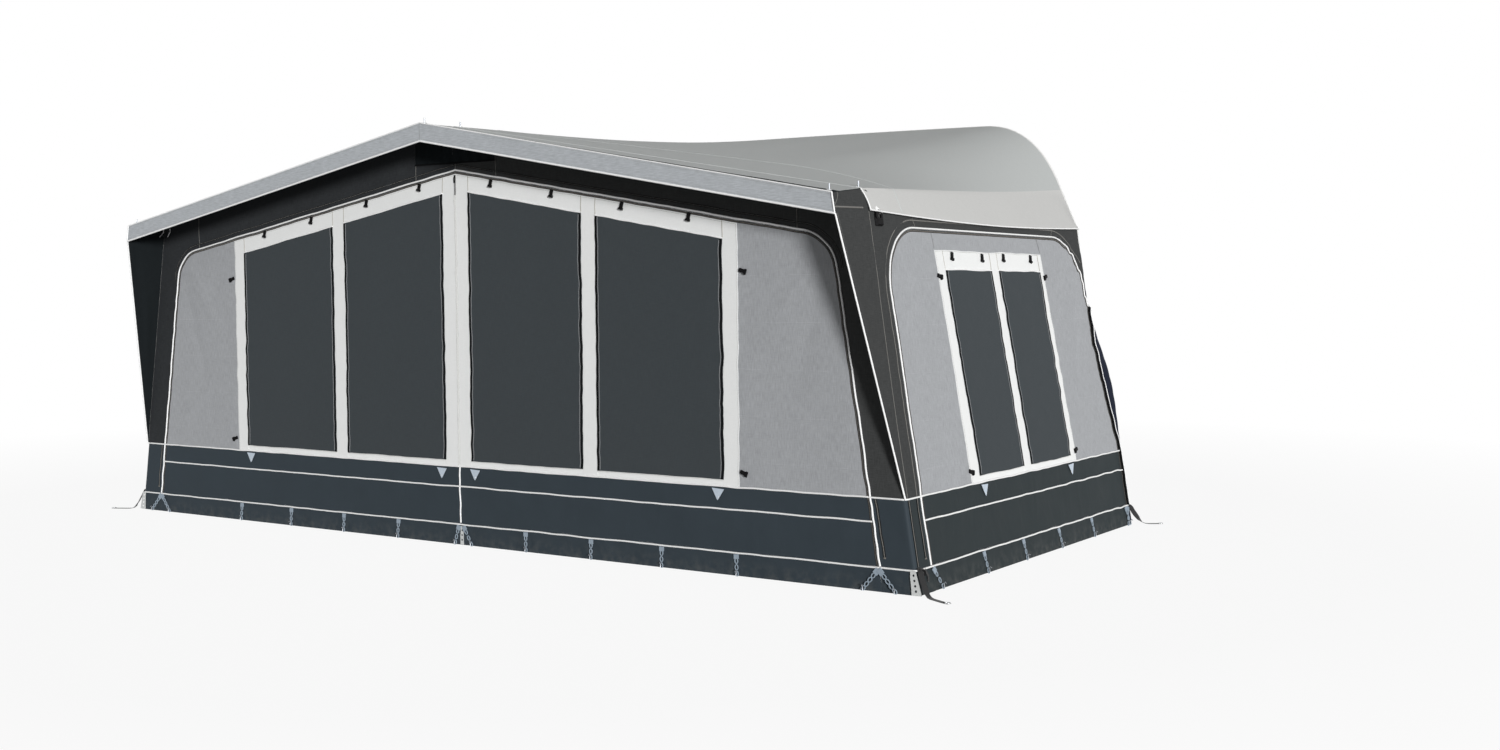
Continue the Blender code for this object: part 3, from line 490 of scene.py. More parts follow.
class ShaderWriter(NodeWriter):
    """Writes one material."""

    def __init__(self, name: str) -> None:
        """Make an empty material of a name.

        Args:
            name: the material's name.
        """
        self.material = bpy.data.materials.new(name)
        self.material.use_nodes = True
        super().__init__(self.material.node_tree)
        self.tree.nodes.clear()

    @property
    def cloth_place(self) -> Socket:
        """Place on the flat cloth, in metres."""
        return self.node("ShaderNodeUVMap", uv_map="cloth")["UV"]

    @property
    def object_place(self) -> Socket:
        """Place in the model, in metres."""
        return self.node("ShaderNodeTexCoord")["Object"]

    def part(self, place: Socket, axis: str) -> Socket:
        """One coordinate of a place."""
        return self.node("ShaderNodeSeparateXYZ", {"Vector": place})[axis]

    def grain(self, place: Socket, scale: float, detail: float = 2.0, rough: float = 0.5,
              warp: float = 0.0) -> Socket:
        """Noise from 0 to 1 at a scale."""
        return self.node("ShaderNodeTexNoise", {"Vector": place, "Scale": scale, "Detail": detail,
                                                "Roughness": rough, "Distortion": warp})["Fac"]

    def streaks(self, place: Socket, along: float, across: float, *settings: float) -> Socket:
        """Noise that is stretched to its own scale each way."""
        stretched = self.node("ShaderNodeMapping", {"Vector": place, "Scale": (along, across, 1)})
        return self.grain(stretched["Vector"], *(settings or (1.0, 1.0)))

    def maths(self, operation: str, first: Any, second: Any = 0.0) -> Socket:
        """One sum on two values."""
        return self.node("ShaderNodeMath", {0: first, 1: second}, operation=operation)[0]

    def plus(self, first: Any, second: Any) -> Socket:
        """Two values added."""
        return self.maths("ADD", first, second)

    def times(self, first: Any, second: Any) -> Socket:
        """Two values multiplied."""
        return self.maths("MULTIPLY", first, second)

    def spread(self, value: Any, low: float, high: float, to_low: float = 0.0,
               to_high: float = 1.0) -> Socket:
        """Map a range of a value onto another, held at its ends."""
        return self.node("ShaderNodeMapRange", {"Value": value, "From Min": low, "From Max": high,
                                                "To Min": to_low, "To Max": to_high})["Result"]

    def blend(self, share: Any, first: Any, second: Any) -> Socket:
        """Mix two colours."""
        return self.node("ShaderNodeMix", {0: share, 6: first, 7: second}, data_type="RGBA")[2]

    def bump(self, height: Any, distance: float, strength: float, **under: Any) -> Socket:
        """A normal that follows a height, on top of another one if Normal gives it."""
        return self.node("ShaderNodeBump", {"Height": height, "Distance": distance,
                                            "Strength": strength, **under})["Normal"]

    def close(self, **inputs: Any) -> Material:
        """Finish with a Principled shader, given its inputs with _ for each space.

        Args:
            **inputs: input name to a value or a socket.

        Returns:
            The material.
        """
        shader = self.node("ShaderNodeBsdfPrincipled",
                           {key.replace("_", " "): value for key, value in inputs.items()})
        self.node("ShaderNodeOutputMaterial", {"Surface": shader["BSDF"]})
        return self.material


@dataclass(frozen=True)
class Finish:
    """A surface finish, made as a material once and kept by its name."""

    name: str
    colour: Colour
    roughness: float
    index: float = 1.45

    def material(self) -> Material:
        """The finish's material, under a name that no CAD material has."""
        name = f"{self.name}_finish"
        return bpy.data.materials.get(name) or self.paint(ShaderWriter(name))

    def shades(self, shader: ShaderWriter, share: Any, dark: float, light: float) -> Socket:
        """The colour between two factors of itself, by a share."""
        ends = [(*[min(1.0, channel * factor) for channel in self.colour], 1.0)
                for factor in (dark, light)]
        return shader.blend(share, *ends)

    def uneven(self, shader: ShaderWriter, tone: Any, less: float, more: float) -> Socket:
        """The roughness, a little less or more by a tone."""
        return shader.spread(tone, 0.3, 0.7, self.roughness - less, self.roughness + more)

    def paint(self, shader: ShaderWriter) -> Material:
        """Write the material: a mottled, slightly uneven moulded surface.

        Args:
            shader: the material's writer.

        Returns:
            The material.
        """
        place = shader.object_place
        tone = shader.grain(place, 60.0, 4.0)
        return shader.close(Base_Color=self.shades(shader, tone, 0.88, 1.12), IOR=self.index,
                            Roughness=self.uneven(shader, tone, 0.06, 0.06),
                            Normal=shader.bump(shader.grain(place, 900.0), 0.0002, 0.4))


@dataclass(frozen=True)
class WovenCloth(Finish):
    """Coated woven polyester: fine threads, slubs along them and a soft mottle."""

    contrast: float = 0.16
    thread: float = 0.0012
    slub: float = 0.5
    folds: float = 0.0
    upright: float = 0.5

    def creased(self, shader: ShaderWriter, place: Socket, share: Any,
                normal: Socket) -> tuple[Socket, Socket]:
        """Add the flat creases that the cloth kept from being folded.

        Args:
            shader: the material's writer.
            place: place on the flat cloth.
            share: the weave's light and dark, from 0 to 1.
            normal: the weave's normal.

        Returns:
            The share and the normal with creases.
        """
        height = shader.plus(shader.part(place, "Y"), shader.times(shader.grain(place, 3.0), 0.012))
        phase = shader.maths("FRACT", shader.maths("DIVIDE", height, self.folds))
        apart = shader.maths("ABSOLUTE", shader.maths("SUBTRACT", phase, 0.5))
        line = shader.times(shader.spread(apart, 0.0, 0.0035 / self.folds, 1.0, 0.0),
                            shader.spread(shader.grain(place, 5.0, 3.0), 0.42, 0.6))
        return (shader.plus(share, shader.times(line, 0.35)),
                shader.bump(line, 0.0012, 0.6, Normal=normal))

    def paint(self, shader: ShaderWriter) -> Material:
        """Write the material on the cloth's own flat place.

        Args:
            shader: the material's writer.

        Returns:
            The material.
        """
        place = shader.cloth_place
        fine, slow = 1 / self.thread, 1 / self.thread / 40
        weave = shader.plus(shader.streaks(place, slow, fine, 1.0, 1.5),
                            shader.streaks(place, fine, slow, 1.0, 1.5))
        across = shader.streaks(place, 22, 230, 1.0, 3.0, 0.65)
        upward = shader.streaks(place, 230, 22, 1.0, 3.0, 0.65)
        slubs = shader.plus(shader.times(across, 2 * (1 - self.upright)),
                            shader.times(upward, 2 * self.upright))
        mottle = shader.grain(place, 14.0, 5.0, 0.6)
        tone = shader.plus(shader.times(weave, 1 - self.slub), shader.times(slubs, self.slub))
        tone = shader.plus(shader.times(tone, 0.4), shader.times(mottle, 0.09))
        share = shader.spread(tone, 0.36, 0.53)
        normal = shader.bump(weave, 0.0004, 0.5)
        if self.folds:
            share, normal = self.creased(shader, place, share, normal)
        return shader.close(Normal=normal, IOR=self.index,
                            Base_Color=self.shades(shader, share, 1 - self.contrast,
                                                   1 + self.contrast),
                            Roughness=self.uneven(shader, mottle, 0.05, 0.05))


@dataclass(frozen=True)
class CoatedPvc(Finish):
    """Heavy PVC over a scrim: a satin skin with small buckles, and dust near the ground."""

    dust: Colour = (0.16, 0.16, 0.15)
    dust_height: float = 0.09
    dust_share: float = 0.35

    def paint(self, shader: ShaderWriter) -> Material:
        """Write the material.

        Args:
            shader: the material's writer.

        Returns:
            The material.
        """
        cloth = shader.cloth_place
        scrim = shader.plus(shader.streaks(cloth, 30, 450), shader.streaks(cloth, 450, 30))
        buckles = shader.streaks(cloth, 1.0, 0.55, 9.0, 3.0, 0.45, 0.6)
        mottle = shader.grain(cloth, 5.0, 4.0)
        low = shader.spread(shader.part(shader.object_place, "Z"), 0.0, self.dust_height, 1.0, 0.0)
        patchy = shader.spread(shader.grain(cloth, 22.0, 4.0), 0.42, 0.75)
        dusty = shader.times(shader.times(low, patchy), self.dust_share)
        return shader.close(Base_Color=shader.blend(dusty, self.shades(shader, mottle, 0.9, 1.12),
                                                    (*self.dust, 1.0)),
                            Roughness=self.uneven(shader, mottle, 0.05, 0.07), IOR=self.index,
                            Normal=shader.bump(buckles, 0.006, 0.5,
                                               Normal=shader.bump(scrim, 0.0003, 0.35)))


@dataclass(frozen=True)
class Steel(Finish):
    """Galvanised tube: faint spangle and draw lines."""

    def paint(self, shader: ShaderWriter) -> Material:
        """Write the material.

        Args:
            shader: the material's writer.

        Returns:
            The material.
        """
        place = shader.object_place
        spangle = shader.node("ShaderNodeTexVoronoi", {"Vector": place, "Scale": 140.0})["Color"]
        grey = shader.spread(shader.node("ShaderNodeSeparateColor", {"Color": spangle})[0],
                             0.0, 1.0, 0.3, 0.7)
        lines = shader.grain(place, 300.0, 3.0)
        return shader.close(Base_Color=self.shades(shader, grey, 0.85, 1.1), Metallic=1.0,
                            Roughness=self.uneven(shader, lines, 0.08, 0.08),
                            Normal=shader.bump(lines, 0.0001, 0.3))


@dataclass(frozen=True)
class Webbing(Finish):
    """Woven strap: ribs across its width."""

    def paint(self, shader: ShaderWriter) -> Material:
        """Write the material.

        Args:
            shader: the material's writer.

        Returns:
            The material.
        """
        place = shader.object_place
        ribs = shader.node("ShaderNodeTexWave", {"Vector": place, "Scale": 160.0, "Detail": 2.0,
                                                 "Distortion": 1.5},
                           wave_type="BANDS", bands_direction="DIAGONAL")["Fac"]
        fuzz = shader.grain(place, 1200.0)
        return shader.close(Base_Color=self.shades(shader, ribs, 0.75, 1.4), Sheen_Weight=0.15,
                            Roughness=self.uneven(shader, fuzz, 0.05, 0.05),
                            Normal=shader.bump(ribs, 0.0006, 0.6))


@dataclass(frozen=True)
class ClearFoil(Finish):
    """Clear window foil, slightly wavy."""

    def paint(self, shader: ShaderWriter) -> Material:
        """Write the material.

        Args:
            shader: the material's writer.

        Returns:
            The material.
        """
        waves = shader.grain(shader.cloth_place, 4.0)
        return shader.close(Base_Color=(*self.colour, 1.0), IOR=1.4, Transmission_Weight=1.0,
                            Alpha=0.35, Roughness=self.uneven(shader, waves, 0.0, 0.05),
                            Normal=shader.bump(waves, 0.004, 0.3))


@dataclass(frozen=True)
class Palette:
    """Every finish of the awning. Dark cloth has a low index, so that light leaves it dark."""

    roof: Finish = WovenCloth("roof_cloth", linear(184, 187, 186), 0.72, contrast=0.04, slub=0.3)
    # Painted light: the flaps are the roof's own cloth, given this lighter copy of it for how the
    # lamp falls on them.
    flap: Finish = WovenCloth("flap_cloth", linear(200, 200, 198), 0.72, contrast=0.04, slub=0.3)
    fascia: Finish = WovenCloth("fascia_cloth", linear(176, 180, 184), 0.78, contrast=0.15,
                                upright=0.1, slub=0.75)
    panel: Finish = WovenCloth("panel_cloth", linear(161, 163, 166), 0.8, slub=0.6, upright=0.78,
                               folds=0.227)
    charcoal: Finish = WovenCloth("charcoal_cloth", linear(66, 67, 67), 0.75, 1.12, 0.24)
    # Painted shade: a darker copy of the charcoal cloth, for the left half of the front surround.
    header: Finish = WovenCloth("header_cloth", linear(51, 53, 55), 0.75, 1.12, 0.24)
    lining: Finish = WovenCloth("lining_cloth", linear(176, 176, 174), 0.8, contrast=0.06)
    underside: Finish = WovenCloth("underside_cloth", linear(30, 34, 36), 0.85, 1.12, 0.1)
    blind: Finish = WovenCloth("blind_cloth", linear(66, 71, 74), 0.6, 1.12, 0.08, slub=0.3)
    welt: Finish = WovenCloth("window_frame_cloth", linear(237, 238, 237), 0.6, contrast=0.03)
    pad: Finish = WovenCloth("draught_pad_cloth", linear(34, 38, 50), 0.8, 1.15, 0.14)
    roof_seam: Finish = WovenCloth("roof_seam_cloth", linear(204, 207, 206), 0.72, contrast=0.06)
    fascia_seam: Finish = WovenCloth("fascia_seam_cloth", linear(150, 153, 156), 0.78)
    panel_seam: Finish = Finish("panel_seam", linear(132, 133, 135), 0.8)
    blind_zip: Finish = Finish("blind_zip_tape", linear(96, 99, 101), 0.8)
    mud: Finish = CoatedPvc("mud_wall_pvc", linear(57, 65, 71), 0.5, 1.12)
    # Painted shade: a darker, greyer copy of the mud-wall PVC, given to the side walls to take away
    # the lamp's extra light on them.
    mud_side: Finish = CoatedPvc("mud_wall_side_pvc", linear(48, 54, 56), 0.5, 1.12)
    anchor: Finish = CoatedPvc("anchor_strip_pvc", linear(205, 207, 206), 0.5)
    piping: Finish = Finish("white_piping", linear(252, 252, 251), 0.5)
    seam: Finish = Finish("dark_seam_tape", linear(40, 40, 40), 0.8, 1.15)
    seam_grey: Finish = Finish("grey_seam_tape", linear(104, 102, 99), 0.8)
    # A seam line that is also painted shadow of the upright strips' raised edges over the frame.
    seam_shade: Finish = Finish("frame_seam", linear(176, 172, 163), 0.7)
    zip_tape: Finish = Finish("zip_tape", linear(46, 45, 44), 0.85, 1.15)
    zip_band: Finish = Finish("black_zip_band", linear(22, 23, 24), 0.85, 1.12)
    coil: Finish = Finish("brown_zip_coil", linear(112, 108, 102), 0.6)
    zip_teeth: Finish = Finish("zip_teeth", linear(150, 152, 155), 0.5)
    thread: Finish = Finish("thread", linear(150, 150, 146), 0.8)
    rubber: Finish = Finish("ladder_rubber", linear(146, 159, 171), 0.6)
    tab: Finish = Finish("pull_tab_vinyl", linear(190, 202, 214), 0.4)
    plastic: Finish = Finish("black_plastic", linear(17, 17, 18), 0.5, 1.15)
    strap: Finish = Webbing("strap_webbing", linear(26, 26, 27), 0.8)
    bead: Finish = Finish("rail_bead_vinyl", linear(225, 225, 223), 0.5)
    steel: Finish = Steel("galvanised_steel", (0.42, 0.44, 0.47), 0.42)
    bright: Finish = Steel("bright_steel", (0.70, 0.71, 0.72), 0.28)
    foil: Finish = ClearFoil("clear_foil", (0.93, 0.95, 0.95), 0.06)


PALETTE = Palette()


# Meshes


def loose(name: str, data: bpy.types.ID) -> Object:
    """Put a helper object in the scene.

    Args:
        name: its name.
        data: its mesh, curve, camera or light.

    Returns:
        The object.
    """
    helper = bpy.data.objects.new(name, data)
    bpy.context.scene.collection.objects.link(helper)
    return helper


def settled_mesh(helper: Object) -> Mesh:
    """Mesh of a helper with its modifiers applied; the helper goes.

    Args:
        helper: the object.

    Returns:
        The plain mesh.
    """
    bpy.context.view_layer.update()
    graph = bpy.context.evaluated_depsgraph_get()
    mesh = bpy.data.meshes.new_from_object(helper.evaluated_get(graph))
    bpy.data.objects.remove(helper, do_unlink=True)
    return mesh


def join_meshes(name: str, meshes: Sequence[Mesh]) -> Mesh:
    """One mesh from several, each with its own materials.

    Args:
        name: the mesh's name.
        meshes: the parts, which go.

    Returns:
        The joined mesh.
    """
    joined = bpy.data.meshes.new(name)
    work = bmesh.new()
    finishes: list[Material] = []
    for mesh in meshes:
        for found in mesh.materials:
            if found not in finishes:
                finishes.append(found)
        places = [finishes.index(found) for found in mesh.materials]
        index = np.zeros(len(mesh.polygons), dtype=np.int32)
        mesh.polygons.foreach_get("material_index", index)
        mesh.polygons.foreach_set("material_index", np.array(places or [0], dtype=np.int32)[index])
        work.from_mesh(mesh)
        bpy.data.meshes.remove(mesh)
    work.to_mesh(joined)
    work.free()
    for finish in finishes:
        joined.materials.append(finish)
    return joined


def recolour(mesh: Mesh, finish: Finish, faces: Iterable[bpy.types.MeshPolygon]) -> None:
    """Give some faces of a two-sided sheet a third finish."""
    mesh.materials.append(finish.material())
    for face in faces:
        face.material_index = 2


def moved(mesh: Mesh, place: Sequence[float], *turns: tuple[float, str],
          finish: Finish | None = None) -> Mesh:
    """A mesh that is turned about its origin, put at a place and given a finish.

    Args:
        mesh: the mesh, which is changed.
        place: where its origin goes.
        *turns: angle and axis of each turn, the last one first.
        finish: its finish, or None where a caller sets it.

    Returns:
        The same mesh.
    """
    matrix = Matrix.Translation(place)
    for angle, axis in turns:
        matrix = matrix @ Matrix.Rotation(angle, 4, axis)
    mesh.transform(matrix)
    if finish:
        mesh.materials.append(finish.material())
    return mesh


class ShapeTree(NodeWriter):
    """A Geometry Nodes tree that is run once on a set of paths and leaves a plain mesh."""

    def __init__(self, name: str, **sockets: str) -> None:
        """Make the tree with its named inputs.

        Args:
            name: the tree's name.
            **sockets: input name to socket type, besides Geometry, Facing and Finish.
        """
        super().__init__(bpy.data.node_groups.new(name, "GeometryNodeTree"))
        sides = self.tree.interface
        for label, kind in {"Geometry": "Geometry", **sockets, "Facing": "Vector",
                            "Finish": "Material"}.items():
            sides.new_socket(name=label, in_out="INPUT", socket_type=f"NodeSocket{kind}")
        sides.new_socket(name="Geometry", in_out="OUTPUT", socket_type="NodeSocketGeometry")
        self.given = self.node("NodeGroupInput")

    def close(self, geometry: Socket, smooth: bool) -> ShapeTree:
        """End the tree: realize, shade and set the material.

        Args:
            geometry: what the tree has made.
            smooth: whether its faces are shaded smooth.

        Returns:
            The tree.
        """
        real = self.node("GeometryNodeRealizeInstances", {"Geometry": geometry})
        shade = self.node("GeometryNodeSetShadeSmooth", {"Geometry": real[0],
                                                         "Shade Smooth": smooth})
        finish = self.node("GeometryNodeSetMaterial", {"Geometry": shade[0],
                                                       "Material": self.given["Finish"]})
        self.node("NodeGroupOutput", {0: finish[0]})
        return self

    def grow(self, paths: Sequence[Path], **values: Any) -> Mesh:
        """Run the tree on paths.

        Args:
            paths: the points of each path, which runs straight between them.
            **values: the named inputs.

        Returns:
            The plain mesh.
        """
        curve = bpy.data.curves.new("path", "CURVE")
        curve.dimensions = "3D"
        for path in paths:
            spline = curve.splines.new("POLY")
            spline.points.add(len(path) - 1)
            for knot, place in zip(spline.points, path):
                knot.co = (*place, 1.0)
        helper = loose("grown", curve)
        modifier = helper.modifiers.new("shape", "NODES")
        modifier.node_group = self.tree
        for item in self.tree.interface.items_tree:
            if item.in_out == "INPUT" and item.name in values:
                modifier[item.identifier] = values[item.name]
        return settled_mesh(helper)


class Trees:
    """The three trees that every trim is grown by."""

    def __init__(self) -> None:
        """Write the trees."""
        self.round = self.swept("piping", True)
        self.flat = self.swept("tape", False)
        self.copies = self.repeated()

    @staticmethod
    def swept(name: str, rounded: bool) -> ShapeTree:
        """Tree that runs a round or a flat profile along a path.

        Args:
            name: the tree's name.
            rounded: whether the profile is round.

        Returns:
            The tree.
        """
        tree = ShapeTree(name, Across="Float", Rise="Float")
        rise, across = tree.given["Rise"], tree.given["Across"]
        turned = tree.node("GeometryNodeSetCurveNormal",
                           {"Curve": tree.given["Geometry"], "Normal": tree.given["Facing"]},
                           mode="FREE")
        if rounded:
            circle = tree.node("GeometryNodeCurvePrimitiveCircle", {"Resolution": 8, "Radius": 0.5})
            scale = tree.node("ShaderNodeCombineXYZ", {"X": rise, "Y": across, "Z": 1.0})
            profile = tree.node("GeometryNodeTransform", {"Geometry": circle["Curve"],
                                                          "Scale": scale[0]})
        else:
            profile = tree.node("GeometryNodeCurvePrimitiveQuadrilateral",
                                {"Width": rise, "Height": across})
        swept = tree.node("GeometryNodeCurveToMesh", {"Curve": turned[0], "Fill Caps": True,
                                                      "Profile Curve": profile[0]})
        return tree.close(swept[0], rounded)

    @staticmethod
    def repeated() -> ShapeTree:
        """Tree that sets copies of a unit along a path, its X along the path and its Z outwards.

        Returns:
            The tree.
        """
        tree = ShapeTree("repeat", Unit="Object", Spacing="Float")
        even = tree.node("GeometryNodeResampleCurve",
                         {"Curve": tree.given["Geometry"], "Length": tree.given["Spacing"]},
                         mode="LENGTH")
        turn = tree.node("FunctionNodeAxesToRotation",
                         {"Primary Axis": tree.given["Facing"],
                          "Secondary Axis": tree.node("GeometryNodeInputTangent")[0]},
                         primary_axis="Z", secondary_axis="X")
        unit = tree.node("GeometryNodeObjectInfo", {"Object": tree.given["Unit"]})
        copies = tree.node("GeometryNodeInstanceOnPoints",
                           {"Points": even[0], "Instance": unit["Geometry"], "Rotation": turn[0]})
        return tree.close(copies[0], False)


def skin(name: str, rings: Sequence[Sequence[Sequence[float]]], finish: Finish | None = None,
         closed: bool = False, sharp: float = 40.0) -> Mesh:
    """Skin a row of rings of points.

    Args:
        name: the mesh's name.
        rings: rings with the same number of points each.
        finish: its finish, or None where a caller sets it.
        closed: whether the last ring joins the first; otherwise both ends are capped.
        sharp: angle past which an edge is sharp, in degrees.

    Returns:
        The closed mesh.
    """
    work = bmesh.new()
    made = [[work.verts.new(point) for point in ring] for ring in rings]
    for ring, after in zip(made, made[1:] + made[:1] if closed else made[1:]):
        for step, corner in enumerate(ring):
            to = (step + 1) % len(ring)
            work.faces.new((corner, ring[to], after[to], after[step]))
    if not closed:
        work.faces.new(made[0])
        work.faces.new(made[-1][::-1])
    bmesh.ops.recalc_face_normals(work, faces=work.faces)
    mesh = bpy.data.meshes.new(name)
    work.to_mesh(mesh)
    work.free()
    mesh.shade_smooth()
    mesh.set_sharp_from_angle(angle=math.radians(sharp))
    if finish:
        mesh.materials.append(finish.material())
    return mesh


def around(steps: int) -> list[Point]:
    """Cosine and sine of even steps round a circle."""
    return [(math.cos(2 * math.pi * step / steps), math.sin(2 * math.pi * step / steps))
            for step in range(steps)]


class Units:
    """Small meshes that are set many times: X along the path, Z outwards."""

    @staticmethod
    def brick(length: float, width: float, height: float, taper: float = 0.7) -> Mesh:
        """A block with a narrower top."""
        corners = ((-0.5, -0.5), (0.5, -0.5), (0.5, 0.5), (-0.5, 0.5))
        return skin("brick", [[(x * length * share, y * width * share, z * height)
                               for x, y in corners] for z, share in ((-0.5, 1.0), (0.5, taper))])

    @staticmethod
    def link(length: float, width: float, bar: float, height: float) -> Mesh:
        """A flat oval ring."""
        levels = ((0.0, -0.5), (0.0, 0.5), (bar, 0.5), (bar, -0.5))
        return skin("link", [[((length / 2 - inset) * cos, (width / 2 - inset) * sin, z * height)
                              for cos, sin in around(14)] for inset, z in levels], closed=True)

    @staticmethod
    def torus(radius: float, wire: float) -> Mesh:
        """A round wire ring that lies flat."""
        return skin("torus", [[((radius + wire * cos) * away, (radius + wire * cos) * aside,
                                wire * sin) for cos, sin in around(8)]
                              for away, aside in around(20)], closed=True, sharp=80.0)

    @staticmethod
    def toggle() -> Mesh:
        """A webbing loop with a bar through its end, hanging down -X.

        Returns:
            The mesh.
        """
        bricks = (((0.003, 0.0, 0.0050), (0.014, 0.020, 0.0070)),
                  ((-0.012, 0.0, 0.0030), (0.026, 0.020, 0.0020)),
                  ((-0.013, 0.0, 0.0085), (0.024, 0.018, 0.0018)),
                  ((-0.027, 0.0, 0.0070), (0.013, 0.028, 0.0095)))
        return join_meshes("toggle", [moved(Units.brick(*size, 0.8), centre)
                                      for centre, size in bricks])

    @staticmethod
    def tab(width: float, drop: float, thickness: float) -> Mesh:
        """A triangular pull tab that hangs down -X, with a blunt tip."""
        outline = ((0.0, width / 2), (0.0, -width / 2), (-drop * 0.92, -width * 0.06),
                   (-drop, 0.0), (-drop * 0.92, width * 0.06))
        return skin("tab", [[(x, y, z) for x, y in outline] for z in (0.0, thickness)])


# Cloth


@dataclass(frozen=True)
class Crease:
    """One soft fold line in a cloth, from point to point."""

    start: Point
    end: Point
    width: float
    height: float

    def rise(self, spot: Vector) -> float:
        """Height that it gives a spot of the cloth: a ridge that fades towards its end.

        Args:
            spot: the spot on the flat cloth.

        Returns:
            The height.
        """
        start = Vector(self.start)
        run = Vector(self.end) - start
        along = max(0.0, min(1.0, (spot - start).dot(run) / run.length_squared))
        apart = (spot - start - run * along).length
        if apart >= 3 * self.width:
            return 0.0
        return (self.height * math.exp(-(apart / self.width) ** 2)
                * math.sin(math.pi * min(1.0, along + 0.12)) ** 0.7)


@dataclass(frozen=True)
class Relief:
    """How a cloth's surface leaves its flat wall."""

    swell: float = 0.0015
    length: float = 0.45
    tall: float = 1.6
    calm: float = 0.06
    seed: float = 0.0
    creases: tuple[Crease, ...] = ()

    def rise(self, across: float, up: float, edge: float) -> float:
        """Height of the surface over its wall.

        Args:
            across: distance along the wall.
            up: distance up the wall.
            edge: distance from the nearest edge of the cloth.

        Returns:
            The height, in metres.
        """
        share = min(1.0, edge / self.calm)
        place = Vector((across / self.length, up / (self.length * self.tall), self.seed))
        total = self.swell * (noise.noise(place) + 0.45 * noise.noise(place * 2.7))
        for crease in self.creases:
            total += crease.rise(Vector((across, up)))
        return total * (share * share * (3 - 2 * share))


def within(points: np.ndarray, loops: Sequence[np.ndarray]) -> np.ndarray:
    """Which points lie inside the first outline and outside the rest.

    Args:
        points: the points, a row each.
        loops: the outlines.

    Returns:
        A flag for each point.
    """
    x, y = points[:, 0], points[:, 1]
    flags = np.zeros(len(points), dtype=bool)
    for loop in loops:
        for (x1, y1), (x2, y2) in zip(loop, np.roll(loop, -1, axis=0)):
            if y1 != y2:
                flags ^= ((y1 > y) != (y2 > y)) & (x < (x2 - x1) * (y - y1) / (y2 - y1) + x1)
    return flags


def edge_distance(points: np.ndarray, loops: Sequence[np.ndarray]) -> np.ndarray:
    """Each point's distance from the nearest outline.

    Args:
        points: the points, a row each.
        loops: the outlines.

    Returns:
        The distances.
    """
    best = np.full(len(points), np.inf)
    for loop in loops:
        for start, end in zip(loop, np.roll(loop, -1, axis=0)):
            run = end - start
            length = float(run @ run) or 1e-12
            along = np.clip(((points - start) @ run) / length, 0.0, 1.0)
            away = points - start - along[:, None] * run
            best = np.minimum(best, np.einsum("ij,ij->i", away, away))
    return np.sqrt(best)


def loop_area(loop: Line) -> float:
    """Area inside an outline."""
    return abs(sum(a[0] * b[1] - b[0] * a[1] for a, b in zip(loop, [*loop[1:], loop[0]]))) / 2


@dataclass(frozen=True)
class Cut:
    """One piece of cloth on a flat wall."""

    wall: Wall
    outline: Line
    holes: Sequence[Line] = ()
    thickness: float = 0.002
    face: float = 0.0
    pitch: float = 0.035
    relief: Relief = Relief()
    outer: Finish = PALETTE.panel
    inner: Finish | None = None

    @property
    def area(self) -> float:
        """Area of the cloth."""
        return loop_area(self.outline) - sum(loop_area(hole) for hole in self.holes)

    def mesh(self) -> Mesh:
        """Mesh of the piece: its outlines and a lattice in them, with relief and thickness.

        Returns:
            The closed mesh.
        """
        loops = [np.array(spaced(loop, min(self.pitch, PITCH)))
                 for loop in (self.outline, *self.holes)]
        low, high = loops[0].min(axis=0), loops[0].max(axis=0)
        rows = np.arange(low[1], high[1], self.pitch * ROW_SHARE)
        inner = np.array([(x, row) for index, row in enumerate(rows)
                          for x in np.arange(low[0] + self.pitch / 2 * (index % 2), high[0],
                                             self.pitch)])
        inner = inner[within(inner, loops)]
        if len(inner):
            inner = inner[edge_distance(inner, loops) > self.pitch * CLEAR_SHARE]
        points = [Vector(point) for loop in (*loops, inner) for point in loop]
        edges: list[tuple[int, int]] = []
        for loop in loops:
            start = len(edges)
            edges += [(start + i, start + (i + 1) % len(loop)) for i in range(len(loop))]
        flat, _, faces, *_ = delaunay_2d_cdt(points, edges, [], 0, 1e-7)
        places = np.array([tuple(point) for point in flat])
        centres = np.array([places[list(face)].mean(axis=0) for face in faces])
        turn = -1 if self.wall.side is Side.LEFT else 1
        faces = [tuple(face)[::turn] for face, keep in zip(faces, within(centres, loops)) if keep]
        corners = [self.wall.at(across, z, self.face + self.relief.rise(across, z, margin))
                   for (across, z), margin in zip(places, edge_distance(places, loops))]
        uvs = [self.wall.cloth_uv(across, z) for across, z in places]
        return thick_sheet(corners, faces, uvs, self.thickness, self.outer, self.inner)


def thick_sheet(corners: Sequence[Vector], faces: Sequence[Sequence[int]], uvs: Line,
                thickness: float, outer: Finish, inner: Finish | None) -> Mesh:
    """Thicken a surface away from its outside.

    Args:
        corners: points of the outside.
        faces: faces of the outside, facing out.
        uvs: each corner's place on the flat cloth.
        thickness: the cloth's thickness.
        outer: finish of the outside.
        inner: finish of the inside, or None where it is the same.

    Returns:
        The closed mesh.
    """
    mesh = bpy.data.meshes.new("sheet")
    mesh.from_pydata([tuple(corner) for corner in corners], [], faces)
    layer = mesh.uv_layers.new(name="cloth")
    spread = np.array(uvs)[np.array([loop.vertex_index for loop in mesh.loops])]
    layer.data.foreach_set("uv", spread.astype(np.float32).ravel())
    for finish in (outer, inner):
        if finish:
            mesh.materials.append(finish.material())
    helper = loose("sheet", mesh)
    solid = helper.modifiers.new("thickness", "SOLIDIFY")
    solid.thickness = thickness
    solid.offset = -1.0
    solid.material_offset = 1 if inner else 0
    result = settled_mesh(helper)
    bpy.data.meshes.remove(mesh)
    result.shade_smooth()
    result.set_sharp_from_angle(angle=math.radians(45))
    return result


